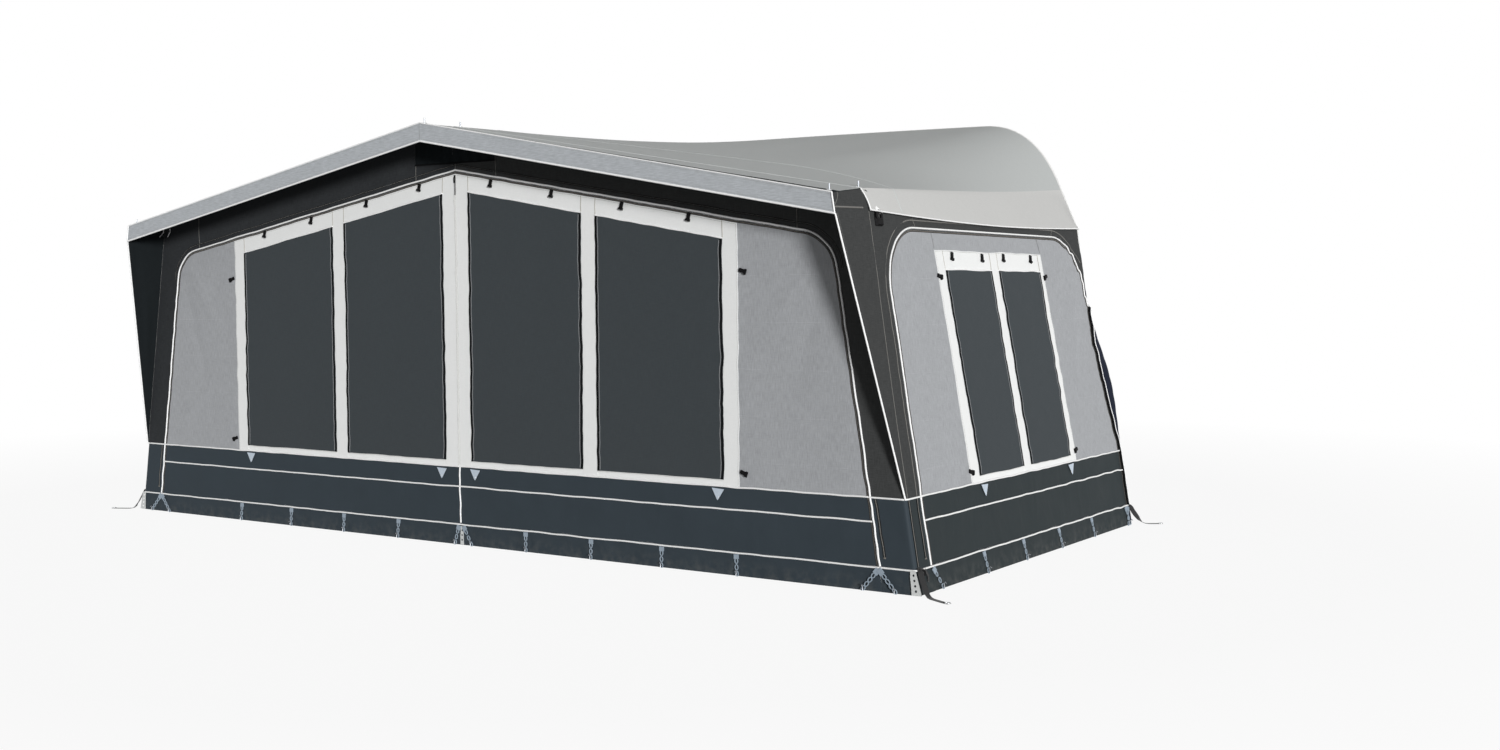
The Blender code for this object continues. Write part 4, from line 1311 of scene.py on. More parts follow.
def grid_sheet(grid: Grid, thickness: float, outer: Finish, inner: Finish | None = None) -> Mesh:
    """A curved sheet.

    Args:
        grid: rows of points, each with its place on the flat cloth; from the first row to the
            second the outside follows the right hand.
        thickness: the cloth's thickness.
        outer: finish of the outside.
        inner: finish of the inside, or None where it is the same.

    Returns:
        The closed mesh.
    """
    width = len(grid[0])
    faces = [(corner, corner + 1, corner + width + 1, corner + width)
             for row in range(len(grid) - 1)
             for corner in range(row * width, (row + 1) * width - 1)]
    corners, flat = zip(*[spot for row in grid for spot in row])
    return thick_sheet(corners, faces, flat, thickness, outer, inner)


@dataclass
class SubAssembly:
    """Common ways of making pieces.

    Attributes:
        trees: the shared trees that grow piping, tapes and small pieces.
    """

    trees: Trees

    @staticmethod
    def piece(name: str, mesh: Mesh, body: str, slot: str, *stands_for: str) -> Object:
        """Put a finished mesh in the scene as a piece.

        Args:
            name: the piece's name.
            mesh: its mesh, in place.
            body: the body that it rides on.
            slot: the slot of its finish; not used.
            *stands_for: CAD nodes that it replaces.

        Returns:
            The piece.
        """
        mesh.name = name
        made = loose(name, mesh)
        if stands_for:
            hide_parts(*stands_for)
        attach(made, body)
        log.info("%s rides on %s, %d faces", name, body, len(mesh.polygons))
        return made

    @staticmethod
    def declare(made: Object, area: float, reach: float, hold: Hold, rests_on: Sequence[str],
                *trims: Object) -> None:
        """Take a piece's cloth data; nothing is done with it.

        Args:
            made: the piece; not used.
            area: its flat area, in square metres; not used.
            reach: length that its cut had, the width following from the area; not used.
            hold: how it is held; not used.
            rests_on: what it hangs from or lies on; not used.
            *trims: separate pieces on it; not used.
        """

    def trim(self, name: str, meshes: Sequence[Mesh], body: str, slot: str) -> Object:
        """One piece from several grown meshes."""
        return self.piece(name, join_meshes(name, meshes), body, slot)


class Dresser:
    """Collects trims that are grown along lines on a wall or along ready paths."""

    def __init__(self, trees: Trees, wall: Wall) -> None:
        """Start with no trims on a wall.

        Args:
            trees: the shared trees.
            wall: the wall.
        """
        self.trees = trees
        self.wall = wall
        self.facing = wall.facing
        self.meshes: list[Mesh] = []

    def grow(self, tree: ShapeTree, lines: Sequence[Line | Path], off: float, finish: Finish,
             facing: Vector | None, **values: Any) -> None:
        """Run a tree along some lines.

        Args:
            tree: the tree.
            lines: points on the wall, or paths of places in the model.
            off: how far a line on the wall stands off it.
            finish: the trim's finish.
            facing: its outward direction, or None for the wall's.
            **values: the tree's own inputs.
        """
        paths = [line if isinstance(line[0], Vector) else self.wall.lay(line, off)
                 for line in lines]
        self.meshes.append(tree.grow(paths, Facing=tuple(facing or self.facing),
                                     Finish=finish.material(), **values))

    def piping(self, lines: Sequence[Line | Path], radius: float = 0.0045, off: float = 0.002,
               finish: Finish = PALETTE.piping, facing: Vector | None = None) -> None:
        """Round piping."""
        self.grow(self.trees.round, lines, off, finish, facing, Across=2 * radius, Rise=2 * radius)

    def tape(self, lines: Sequence[Line | Path], width: float, off: float = 0.0009,
             finish: Finish = PALETTE.seam, thickness: float = 0.001,
             facing: Vector | None = None) -> None:
        """Flat tape."""
        self.grow(self.trees.flat, lines, off, finish, facing, Across=width, Rise=thickness)

    def repeat(self, lines: Sequence[Line | Path], unit: Mesh, spacing: float, off: float,
               finish: Finish, facing: Vector | None = None) -> None:
        """Copies of a unit, a spacing apart.

        Args:
            lines: points on the wall, or paths of places in the model.
            unit: the mesh to copy.
            spacing: distance between two copies.
            off: how far a line on the wall stands off it.
            finish: the copies' finish.
            facing: their outward direction, or None for the wall's.
        """
        model = bpy.data.objects.new("unit", unit)
        self.grow(self.trees.copies, lines, off, finish, facing, Unit=model, Spacing=spacing)
        bpy.data.objects.remove(model, do_unlink=True)

    def stitch(self, lines: Sequence[Line], off: float) -> None:
        """Rows of stitches."""
        self.repeat(lines, Units.brick(0.00455, 0.0012, 0.0008), 0.0065, off, PALETTE.thread)

    def seam(self, lines: Sequence[Line], width: float = 0.005,
             finish: Finish = PALETTE.seam_grey, off: float = 0.0009) -> None:
        """A narrow taped seam with a row of stitches on it."""
        self.tape(lines, width, off, finish)
        self.stitch(lines, off + 0.0007)

    def zip(self, lines: Sequence[Line], off: float = 0.0010, width: float = 0.010,
            coil: Finish = PALETTE.zip_teeth, tape: Finish = PALETTE.zip_tape) -> None:
        """A zip: its tape and its coil."""
        self.tape(lines, width, off, tape)
        self.repeat(lines, Units.brick(0.0022, 0.0046, 0.0014), 0.0036, off + 0.0008, coil)

    def hang(self, spot: Point, mesh: Mesh, finish: Finish, off: float, turn: float = 0.0) -> None:
        """A unit that hangs down its -X, turned on the wall by an angle.

        Args:
            spot: where its origin goes on the wall.
            mesh: the unit.
            finish: its finish.
            off: how far it stands off the wall.
            turn: its turn, in radians.
        """
        up = (self.wall.at(spot[0], spot[1] + 0.1) - self.wall.at(*spot)).normalized()
        across = self.facing.cross(up).normalized()
        axes = Matrix((across.cross(self.facing), across, self.facing)).transposed().to_4x4()
        mesh.transform(Matrix.Translation(self.wall.at(*spot, off)) @ axes
                       @ Matrix.Rotation(turn, 4, "Z"))
        mesh.materials.append(finish.material())
        self.meshes.append(mesh)


@dataclass
class RoofSheet(SubAssembly):
    """The roof with its side flaps, their piping, the cross seam and the eyelets."""

    half_columns: int = 44
    flap_columns: int = 8
    rows: int = 56
    thickness: float = 0.0025
    slack: float = 0.006
    waves: Point = (2.2, 0.9)
    fine_waves: Point = (6.0, 1.6)
    fine_share: float = 0.35
    flutter: Point = (0.004, 0.006)
    piping_radius: float = 0.0038
    seam_depth: float = 0.35
    set_back: float = 0.044
    set_back_fade: float = 0.28

    def surface(self, share: float, y: float) -> Vector:
        """Point of the roof's outside, with the cloth's slack.

        Args:
            share: -2 to 2, from the left flap's edge over the ridge to the right flap's.
            y: depth behind the front wall.

        Returns:
            The place in the model.
        """
        over = max(0.0, abs(share) - 1.0)
        fade = max(0.0, 1 - y / self.set_back_fade) ** 1.5
        y += self.set_back * (1 - (1 - over) ** 2.4) * fade
        point = PLAN.roof_point(abs(share), y)
        if share < 0:
            point.x = -point.x
        depth = y / PLAN.depth
        calm = math.sin(math.pi * depth) ** 0.8 * math.sin(math.pi * min(1.0, abs(share))) ** 0.8
        wave = noise.noise(Vector((point.x * self.waves[0], y * self.waves[1], 3.0)))
        fine = noise.noise(Vector((point.x * self.fine_waves[0], y * self.fine_waves[1], 9.0)))
        point.z += self.slack * calm * (wave + self.fine_share * fine)
        least, swing = self.flutter
        out = least + swing * noise.noise(Vector((y * 3.1, math.copysign(4.0, share), 0.0)))
        point.x += math.copysign(out, share) * over * math.sin(math.pi * depth)
        return point - Vector((0.0, PLAN.middle_y, 0.0))

    def shares(self) -> list[float]:
        """The columns, from the left flap's edge to the right flap's.

        Returns:
            The share of each column.
        """
        half = [step / self.half_columns for step in range(self.half_columns + 1)]
        half += [1 + (step + 1) / self.flap_columns for step in range(self.flap_columns)]
        return [-share for share in reversed(half[1:])] + half

    def strip(self, depths: Sequence[float], lift: float = 0.0) -> Grid:
        """Rows of points and their flat places, a lift over the roof.

        Args:
            depths: depth of each row.
            lift: height over the roof.

        Returns:
            The rows.
        """
        grid = []
        for y in depths:
            row = [self.surface(share, y) for share in self.shares()]
            runs = [0.0]
            for point, after in zip(row, row[1:]):
                runs.append(runs[-1] + (after - point).length)
            if lift:
                row = [point + Vector(((a - b).z, 0.0, (b - a).x)).normalized() * lift
                       for point, a, b in zip(row, [row[0]] + row[:-1], row[1:] + [row[-1]])]
            grid.append([(point, (run, y)) for point, run in zip(row, runs)])
        return grid

    def build(self) -> None:
        """Make the roof's pieces."""
        last = PLAN.depth - PLAN.roof_rear_trim
        depths = [last * step / self.rows for step in range(self.rows + 1)]
        grid = self.strip(depths)
        mesh = grid_sheet(grid, self.thickness, PALETTE.roof, PALETTE.lining)
        columns = len(grid[0]) - 1
        # The flap columns take the lighter copy of the roof cloth: painted light.
        recolour(mesh, PALETTE.flap, [
            face for face in mesh.polygons[:self.rows * columns]
            if not self.flap_columns <= face.index % columns < columns - self.flap_columns])
        roof = self.piece("roof", mesh, "tent", "roof_cloth", "roof_sheet")
        seams = Dresser(self.trees, Wall(Face.FRONT, Side.RIGHT))
        for start, end, lift, finish in (
                (self.seam_depth - 0.004, self.seam_depth + 0.004, 0.0008, PALETTE.roof_seam),
                (last - 0.013, last, 0.0012, PALETTE.bead)):
            strip = self.strip([start, (start + end) / 2, end], lift)
            seams.meshes.append(grid_sheet(strip, 0.0012, finish))
        for y in (self.seam_depth - 0.007, self.seam_depth + 0.007):
            seams.repeat([[point for point, _ in self.strip([y], 0.0014)[0]]],
                         Units.brick(0.0046, 0.0012, 0.0008), 0.0065, 0.0, PALETTE.roof_seam,
                         Vector((0, 0, 1)))
        edges = Dresser(self.trees, Wall(Face.FRONT, Side.RIGHT))
        front = [self.surface(share, 0.0) + Vector((0, 0.001, 0)) for share in self.shares()]
        turn = self.flap_columns + 1
        lower = [[self.surface(sign, y) + Vector((0, 0, -0.001)) for y in depths]
                 for sign in (-2.0, 2.0)]
        for paths in (lower, [front[:turn], front[-turn:]]):
            edges.piping(paths, self.piping_radius, facing=Vector((1, 0, 0)))
        edges.piping([front[turn - 1:1 - turn]], 0.0022, finish=PALETTE.roof_seam)
        self.declare(roof, grid[0][-1][1][0] * PLAN.depth, PLAN.depth, Hold.STRETCHED,
                     ["roof_pole_centre", "roof_pole_left", "roof_pole_right",
                      "front_rafter_left", "front_rafter_right"],
                     self.trim("roof_seams", seams.meshes, "tent", "roof_cloth"),
                     self.trim("roof_flap_piping", edges.meshes, "tent", "bead"))
        self.eyelets()

    def eyelets(self) -> None:
        """Metal rings round the spigots that stand through the roof and the overhang."""
        y = 0.035 - PLAN.overhang
        spots = [(x, 0.045, PLAN.roof_height(x), PLAN.roof_fall) for x in (-2.53, 0.0, 2.53)]
        spots += [(x, y, PLAN.canopy_height(x, y), PLAN.canopy_fall) for x in (-2.535, 0.0, 2.535)]
        self.trim("eyelets", [
            moved(Units.torus(0.010, 0.0026), (x, depth - PLAN.middle_y, z + 0.001),
                  (math.atan(fall) * float(np.sign(x)), "Y"), finish=PALETTE.bright)
            for x, depth, z, fall in spots], "tent", "steel_tube")


@dataclass
class Canopy(SubAssembly):
    """The front overhang: top, fascia with its piping, and the side wings."""

    columns: int = 120
    rows: int = 8
    thickness: float = 0.0025
    dip: float = 0.004
    fascia_face: float = 0.2633
    wing_seam: float = 1.77
    wing_drop: float = 0.0036

    def build(self) -> None:
        """Make the overhang's pieces."""
        self.top()
        self.fascia()
        for side in Side:
            self.wing(side)

    def top(self) -> None:
        """The top sheet, with a dark underside and a near-black band of painted shade behind the
        fascia.
        """
        grid = []
        for step in range(self.rows + 1):
            y = -PLAN.overhang + (PLAN.overhang - PLAN.gap) * step / self.rows
            reach = PLAN.side_x(PLAN.canopy_height(PLAN.eave_half, y)) + PLAN.sheet
            row = []
            for column in range(self.columns + 1):
                x = reach * (2 * column / self.columns - 1)
                dip = (self.dip * math.sin(math.pi * step / self.rows)
                       * noise.noise(Vector((x * 3, y * 4, 6))))
                row.append((Vector((x, y - PLAN.middle_y, PLAN.canopy_height(x, y) - abs(dip))),
                            (x, y)))
            grid.append(row)
        mesh = grid_sheet(grid, self.thickness, PALETTE.underside, PALETTE.underside)
        # The top's outside is roof cloth but for its two rows behind the fascia, which keep the
        # near-black underside colour: painted shade in the gap behind the fascia's top edge.
        recolour(mesh, PALETTE.roof, mesh.polygons[self.columns * 2:self.columns * self.rows])
        top = self.piece("canopy_top", mesh, "tent", "canopy_cloth", "canopy_sheet")
        self.declare(top, 2 * reach * PLAN.overhang, 2 * reach, Hold.STRETCHED,
                     ["canopy_rafter_left", "canopy_rafter_right", "canopy_arm_centre"])

    def fascia_lines(self, off: float) -> tuple[list[Point], list[Point]]:
        """Upper and lower edge of the fascia from left to right, moved in by off.

        Args:
            off: how far inside the edge the lines run.

        Returns:
            The upper and the lower line.
        """
        top_x = PLAN.side_x(PLAN.canopy_eave)
        low = PLAN.canopy_eave - PLAN.fascia_height
        high = PLAN.canopy_apex - PLAN.canopy_fall * top_x - off
        low_x = PLAN.side_x(low)
        return ([(-top_x, high), (0.0, PLAN.canopy_apex - off), (top_x, high)],
                [(-low_x, low + off), (0.0, PLAN.canopy_apex - PLAN.fascia_height + off),
                 (low_x, low + off)])

    def fascia(self) -> None:
        """The gabled strip with white piping round its edges."""
        wall = Wall(Face.FRONT, Side.RIGHT, still=True)
        face = self.fascia_face
        upper, lower = self.fascia_lines(0.0)
        cut = Cut(wall, lower[::-1] + upper, face=face, pitch=0.024, outer=PALETTE.fascia,
                  relief=Relief(0.004, 0.30, 3.0, 0.03, 2.0), inner=PALETTE.underside)
        piece = self.piece("fascia_strip", cut.mesh(), "tent", "fascia_cloth", "fascia")
        dress = Dresser(self.trees, wall)
        for lines, radius in (([lower], 0.0050), ([upper], 0.0034),
                              ([[upper[0], lower[0]], [upper[-1], lower[-1]]], 0.0042)):
            dress.piping(lines, radius, face)
        dress.stitch([self.fascia_lines(0.012)[1], self.fascia_lines(0.010)[0]], face + 0.0005)
        dress.seam([[(0.0, PLAN.canopy_apex - 0.006),
                     (0.0, PLAN.canopy_apex - PLAN.fascia_height + 0.006)]], 0.003,
                   PALETTE.fascia_seam, face + 0.0008)
        self.declare(piece, cut.area, 5.3, Hold.HUNG, ["canopy_rafter_left", "canopy_rafter_right"],
                     self.trim("fascia_piping", dress.meshes, "tent", "bead"))

    def wing(self, side: Side) -> None:
        """A triangular wing under the overhang's end.

        Args:
            side: its side.
        """
        wall = Wall(Face.FLANK, side)
        edge = -PLAN.overhang
        low = PLAN.canopy_eave - PLAN.fascia_height
        front_top = PLAN.canopy_height(PLAN.side_x(PLAN.canopy_eave), edge) - self.wing_drop
        rear_top = PLAN.canopy_height(PLAN.side_x(PLAN.eave_height), 0.0) - self.wing_drop
        outline = [(edge, low), (edge + 0.001, front_top), (-PLAN.gap, rear_top),
                   (-PLAN.gap, PLAN.mud_wall)]
        creases = (Crease((-0.20, 1.66), (-0.02, 0.80), 0.03, 0.004),
                   Crease((-0.10, 1.40), (-0.01, 0.62), 0.02, -0.003))
        cut = Cut(wall, outline, pitch=0.022, outer=PALETTE.charcoal, inner=PALETTE.underside,
                  relief=Relief(0.004, 0.16, 3.0, 0.03, 5.0 + side.value, creases))
        piece = self.piece(f"wing_cloth_{side.word}", cut.mesh(), "tent", "charcoal_cloth",
                           f"wing_{side.word}")
        dress = Dresser(self.trees, wall)
        dress.piping([[(edge, low), (-PLAN.gap - 0.002, PLAN.mud_wall)]], off=0.001)
        dress.seam([[(edge + 0.006, self.wing_seam - 0.002),
                     (-PLAN.gap, self.wing_seam + 0.004)]], 0.008)
        dress.seam([[(-0.218, 1.842), (-0.213, 1.828), (-0.224, 1.805), (-0.250, 1.778)]], 0.003)
        dress.stitch([[(edge + 0.022, low), (-0.012, PLAN.mud_wall + 0.05)]], 0.0006)
        dress.piping([[(-0.012, 1.828), (-0.016, 1.800), (-0.040, 1.772)]], 0.0028, -0.012)
        self.declare(piece, cut.area, 1.45, Hold.HUNG,
                     [f"canopy_arm_{side.word}", f"upright_{side.word}"],
                     self.trim(f"wing_piping_{side.word}", dress.meshes, "tent", "bead"))


@dataclass(frozen=True)
class FrontPlan:
    """Outlines and fittings of the front wall, on its right half."""

    face: Face = Face.FRONT
    blinds: tuple[str, str] = ("inner", "outer")
    toggles: Line = ((0.27, 2.00), (0.70, 1.927), (1.17, 1.844), (1.59, 1.775))
    side_toggles: Line = ((1.90, 1.497), (1.90, 0.513))
    tabs: Point = (0.128, 1.76)
    # Painted shade: the front's left surround takes the darker copy of the charcoal cloth.
    dark: Finish = PALETTE.header  # the surround of the left half
    mud_cloth: Finish = PALETTE.mud
    sill: float = 0.468
    header: float = 0.10
    frame_outer: float = 1.88
    band_ends: Point = (PLAN.gap * 2.5, 1.8795)  # outer edges of the first and last strip
    band_drop: float = 0.0125
    seam_end: Point = (0.0, 0.013)  # lean and drop of the upper end of a strip's seam
    strip: float = 0.095  # between the windows
    window: float = 0.80  # width of each
    window_start: float = 0.095
    ripples: Point = (0.0014, 0.0036)  # swing of a blind's near and far edge
    reach: float = 1.9  # length that the panel's cut had

    def top(self, x: float, drop: float) -> float:
        """Height at x of a line that lies a drop under the frame's top."""
        return PLAN.apex_height - PLAN.panel_drop - drop - PLAN.roof_fall * x

    def field(self, near: float, far: float, low: float, drop: float) -> list[Point]:
        """An upright field from a height to a drop under the frame's top."""
        return [(near, low), (far, low), (far, self.top(far, drop)), (near, self.top(near, drop))]

    def edges(self) -> list[float]:
        """Near and far edge of the first window, then of the second."""
        second = self.window_start + self.window + self.strip
        return [self.window_start, self.window_start + self.window, second, second + self.window]

    def windows(self, margin: float) -> list[list[Point]]:
        """The two windows, grown by a margin."""
        edges = self.edges()
        return [self.field(near - margin, far + margin, self.sill - margin, self.header - margin)
                for near, far in zip(edges[::2], edges[1::2])]

    def frame(self, inset: float) -> list[Point]:
        """The window frame's outline, moved in by an inset."""
        return self.field(PLAN.gap * 2 + inset, self.frame_outer - inset, PLAN.mud_lap + inset,
                          0.012 + inset)

    def bands(self) -> list[list[Point]]:
        """The upright strips over the frame."""
        ends = [self.band_ends[0], *self.edges(), self.band_ends[1]]
        return [self.field(near, far, PLAN.mud_lap + 0.0005, self.band_drop)
                for near, far in zip(ends[::2], ends[1::2])]

    def frame_seams(self) -> list[list[Point]]:
        """Seams between the upright strips and the header."""
        lean, drop = self.seam_end
        return [[(x, self.top(x, self.header)), (x - lean, self.top(x, drop))]
                for x in self.edges()]

    def span(self, z: float) -> Point:
        """Near and far edge of the zip-out panel at a height."""
        return PLAN.gap / 2, PLAN.zip_x(z)

    def panel(self) -> list[Point]:
        """The panel above the mud wall."""
        low = PLAN.mud_wall
        return [(PLAN.gap / 2, low), (PLAN.zip_x(low), low)] + [
            point for point in PLAN.front_zip(0.0) if point[1] > low]

    def mud(self) -> list[Point]:
        """The panel's part of the mud wall.

        Returns:
            The outline's points.
        """
        low, high = PLAN.foot, PLAN.mud_lap
        (near, far), (top_near, top_far) = self.span(low), self.span(high)
        return [(near, low), (far, low), (top_far, high), (top_near, high)]

    def surround(self) -> list[Point]:
        """The dark header and corner strip.

        Returns:
            The outline's points.
        """
        low = PLAN.mud_wall + PLAN.gap
        drop = PLAN.sheet + 2 * PLAN.gap
        inside = PLAN.sheet / math.cos(PLAN.side_angle) + PLAN.gap
        return [(PLAN.zip_x(low) + PLAN.gap, low),
                *[point for point in PLAN.front_zip(PLAN.gap) if point[1] > low],
                (PLAN.gap / 2, PLAN.apex_height - drop), PLAN.eave_corner(inside, drop),
                (PLAN.side_x(low) - inside, low)]

    def dress_surround(self, dress: Dresser) -> None:
        """Piping over the zip, seams, ventilation pocket and storage tie.

        Args:
            dress: the wall's trims.
        """
        dress.piping([PLAN.front_zip(PLAN.cover)], 0.0048)
        seam = [point for point in PLAN.front_zip(0.038) if point[1] > PLAN.mud_wall]
        dress.seam([seam], 0.009, PALETTE.seam)
        dress.seam([[(x, self.top(x, 0.0) + 0.012), (x, PLAN.roof_height(x) - 0.012)]
                    for x in (0.302, 2.222)], 0.003)
        dress.piping([[(2.497, 1.822), (2.497, 1.800), (2.523, 1.770)]], 0.0028, 0.014)
        if dress.wall.side is Side.RIGHT:
            self.vent(dress)

    @staticmethod
    def vent(dress: Dresser) -> None:
        """The pleated ventilation pocket under the apex.

        Args:
            dress: the wall's trims.
        """
        half, low = 0.30, 2.112
        pleats = tuple(Crease((x, low), (x * 0.9, 2.30), 0.011, 0.004 * (-1) ** index)
                       for index, x in enumerate(np.arange(-0.27, 0.28, 0.036)))
        eave = PLAN.roof_height(half) - 0.010
        outline = [(-half, low), (half, low), (half, eave), (0.0, PLAN.apex_height - 0.012),
                   (-half, eave)]
        dress.meshes.append(Cut(
            dress.wall, outline, face=0.0045, pitch=0.012, thickness=0.0015,
            relief=Relief(swell=0.002, length=0.1, calm=0.01, seed=4.0, creases=pleats),
            outer=PALETTE.underside).mesh())
        dress.tape([[(-half - 0.004, low), (half + 0.004, low)]], 0.009, 0.0055, PALETTE.zip_band,
                   0.002)
        dress.seam([[(0.0, 2.075), (0.0, low)]], 0.003)

    def dress_door(self, dress: Dresser) -> None:
        """Mud-wall piping, and the zips round the panel and up the middle.

        Args:
            dress: the wall's trims.
        """
        dress.piping([[(0.003, height), (PLAN.zip_x(height) - 0.001, height)]
                      for height in PLAN.piping], off=0.0048)
        if dress.wall.side is Side.RIGHT:
            dress.piping([[(0.005, PLAN.skirt + 0.004), (0.004, 0.16), (0.005, PLAN.mud_wall)]],
                         off=0.003)
        dress.zip([PLAN.front_zip(PLAN.coil)], coil=PALETTE.coil)
        shade, top = self.top(0.0, 0.13), self.top(0.0, 0.02)
        for low, high, width, coil, tape in (
                (PLAN.mud_wall + 0.01, shade, 0.004, PALETTE.bead, PALETTE.bead),
                (shade, top, 0.005, PALETTE.zip_teeth, PALETTE.seam_grey)):
            dress.zip([[(0.0035, low), (0.0035, high)]], 0.0030, width, coil, tape)


@dataclass(frozen=True)
class FlankPlan(FrontPlan):
    """Outlines and fittings of a side wall; points are (y, z)."""

    face: Face = Face.FLANK
    blinds: tuple[str, str] = ("front", "rear")
    toggles: Line = ((0.827, 1.572), (1.168, 1.572), (1.43, 1.572), (1.779, 1.572))
    side_toggles: Line = ((0.648, 1.466), (1.950, 1.466), (0.680, 0.50), (2.018, 0.50))
    tabs: Point = (0.81, 1.905)
    dark: Finish = PALETTE.charcoal
    # The side wall's strip of mud wall takes the darker copy of the PVC: painted shade.
    mud_cloth: Finish = PALETTE.mud_side
    header: float = 0.097
    band_ends: Point = (0.65, 1.926)
    band_drop: float = 0.0005
    seam_end: Point = (0.004, 0.002)
    strip: float = 0.09
    window: float = 0.53
    window_start: float = 0.735
    ripples: Point = (0.0055, 0.0055)
    reach: float = 1.6
    lean: float = 0.045  # of the windows, from top to sill
    frame_top: float = 1.592

    def top(self, x: float, drop: float) -> float:
        """Height of a line that lies a drop under the frame's top."""
        return self.frame_top - drop

    def field(self, near: float, far: float, low: float, drop: float) -> list[Point]:
        """A field whose uprights lean as the windows do.

        Args:
            near: its near edge, at the windows' top.
            far: its far edge, at the windows' top.
            low: its foot.
            drop: how far its head lies under the frame's top.

        Returns:
            The field's corners.
        """
        high, level = self.frame_top - drop, self.frame_top - self.header
        low_move, high_move = [(level - z) * (self.lean / (level - self.sill)) for z in (low, high)]
        return [(near + low_move, low), (far + low_move, low), (far + high_move, high),
                (near + high_move, high)]

    def frame(self, inset: float) -> list[Point]:
        """The window frame's outline, moved in by an inset."""
        low, high = PLAN.mud_lap + inset, self.frame_top - inset
        return [(0.687 + inset, low), (2.011 - inset, low), (1.926 - inset, high),
                (0.650 + inset, high)]

    def bands(self) -> list[list[Point]]:
        """The upright strips over the frame.

        Returns:
            The outline of each strip.
        """
        near, middle, far = super().bands()
        outer = self.frame(0.0005)
        return [[outer[0], near[1], near[2], outer[3]], middle, [far[0], *outer[1:3], far[3]]]

    def span(self, z: float) -> Point:
        """Near and far edge of the panel's mud wall, the same at every height."""
        return PLAN.flank_inset, PLAN.rear_low

    def panel(self) -> list[Point]:
        """The panel above the mud wall."""
        return PLAN.flank_zip(0.0, PLAN.mud_wall)

    def surround(self) -> list[Point]:
        """The dark front strip, header under the flap and rear strip.

        Returns:
            The outline's points.
        """
        low = PLAN.mud_wall + PLAN.gap
        rear, low_rear = PLAN.rear_high + PLAN.tail, PLAN.rear_low + PLAN.tail
        outline = [(PLAN.gap, low), (PLAN.gap, 1.858), (0.052, 1.858)]
        for step in range(1, PLAN.arc_steps + 1):
            y = 0.06 + (rear - 0.06) * step / PLAN.arc_steps
            outline.append((y, PLAN.flap_bottom(y / PLAN.depth) + PLAN.header_lap))
        outline += [(rear, PLAN.knee_high), (low_rear, PLAN.knee_low), (low_rear, PLAN.foot)]
        inner = [(y, z) for y, z in PLAN.flank_zip(PLAN.gap) if z > low or y > PLAN.rear_high]
        return outline + inner[::-1] + [(PLAN.flank_inset - PLAN.gap, low)]

    def dress_surround(self, dress: Dresser) -> None:
        """Piping over the zip, seams, and the buckle at the front eave.

        Args:
            dress: the wall's trims.
        """
        over = PLAN.flank_zip(PLAN.cover)
        split = (PLAN.rear_high + PLAN.cover, 1.30)
        below = [split, *over[-3:]]
        dress.piping([[*over[:-3], split]], 0.0047)
        dress.tape([below], 0.026, 0.0010, PALETTE.zip_band, 0.0016)
        for radius, off, finish in ((0.0085, 0.0070, PALETTE.zip_band),
                                    (0.0026, 0.0158, PALETTE.piping)):
            path = dress.wall.lay(below, off)
            dress.piping([[dress.wall.at(*split, -0.009), *path[1:]]], radius, finish=finish)
        low = PLAN.mud_wall
        seam = [(y, z) for y, z in PLAN.flank_zip(0.045)[:-3] if z > low]
        seam = [(seam[0][0], low + 0.006)] + [(y, min(z, 1.735)) for y, z in seam if y < 2.48]
        dress.seam([seam], 0.006)
        dress.seam([[(0.048, 1.758), (0.044, 1.5), (0.030, 1.2), (0.022, 0.8),
                     (0.022, low + 0.006)],
                    [(0.463, 1.738), (0.482, 1.700)], [(2.14, 1.735), (2.12, 1.70)]], 0.004)
        self.buckle(dress)

    @staticmethod
    def buckle(dress: Dresser) -> None:
        """The ladder-lock buckle on its webbing, with a pale strap end.

        Args:
            dress: the wall's trims.
        """
        dress.tape([[(0.122, 1.785), (0.120, 1.735), (0.118, 1.700)]], 0.030, 0.006,
                   PALETTE.strap, 0.002)
        dress.tape([[(0.096, 1.776), (0.118, 1.766), (0.146, 1.748)]], 0.018, 0.013,
                   PALETTE.piping, 0.002)
        dress.hang((0.120, 1.738), Units.link(0.060, 0.062, 0.016, 0.010), PALETTE.plastic, 0.010)
        dress.hang((0.120, 1.712), Units.brick(0.040, 0.064, 0.014), PALETTE.plastic, 0.011)

    def dress_door(self, dress: Dresser) -> None:
        """Mud-wall piping, the zip, and the seams over the frame's corners.

        Args:
            dress: the wall's trims.
        """
        near, rear = self.span(0.0)
        dress.piping([[(near + 0.001, height), (rear - 0.002, height)]
                      for height in PLAN.piping], off=0.0048)
        dress.zip([PLAN.flank_zip(PLAN.coil)], coil=PALETTE.coil)
        dress.seam([[(0.649, 1.600), (0.640, 1.674)], [(1.924, 1.600), (1.904, 1.674)]], 0.003,
                   PALETTE.panel_seam)


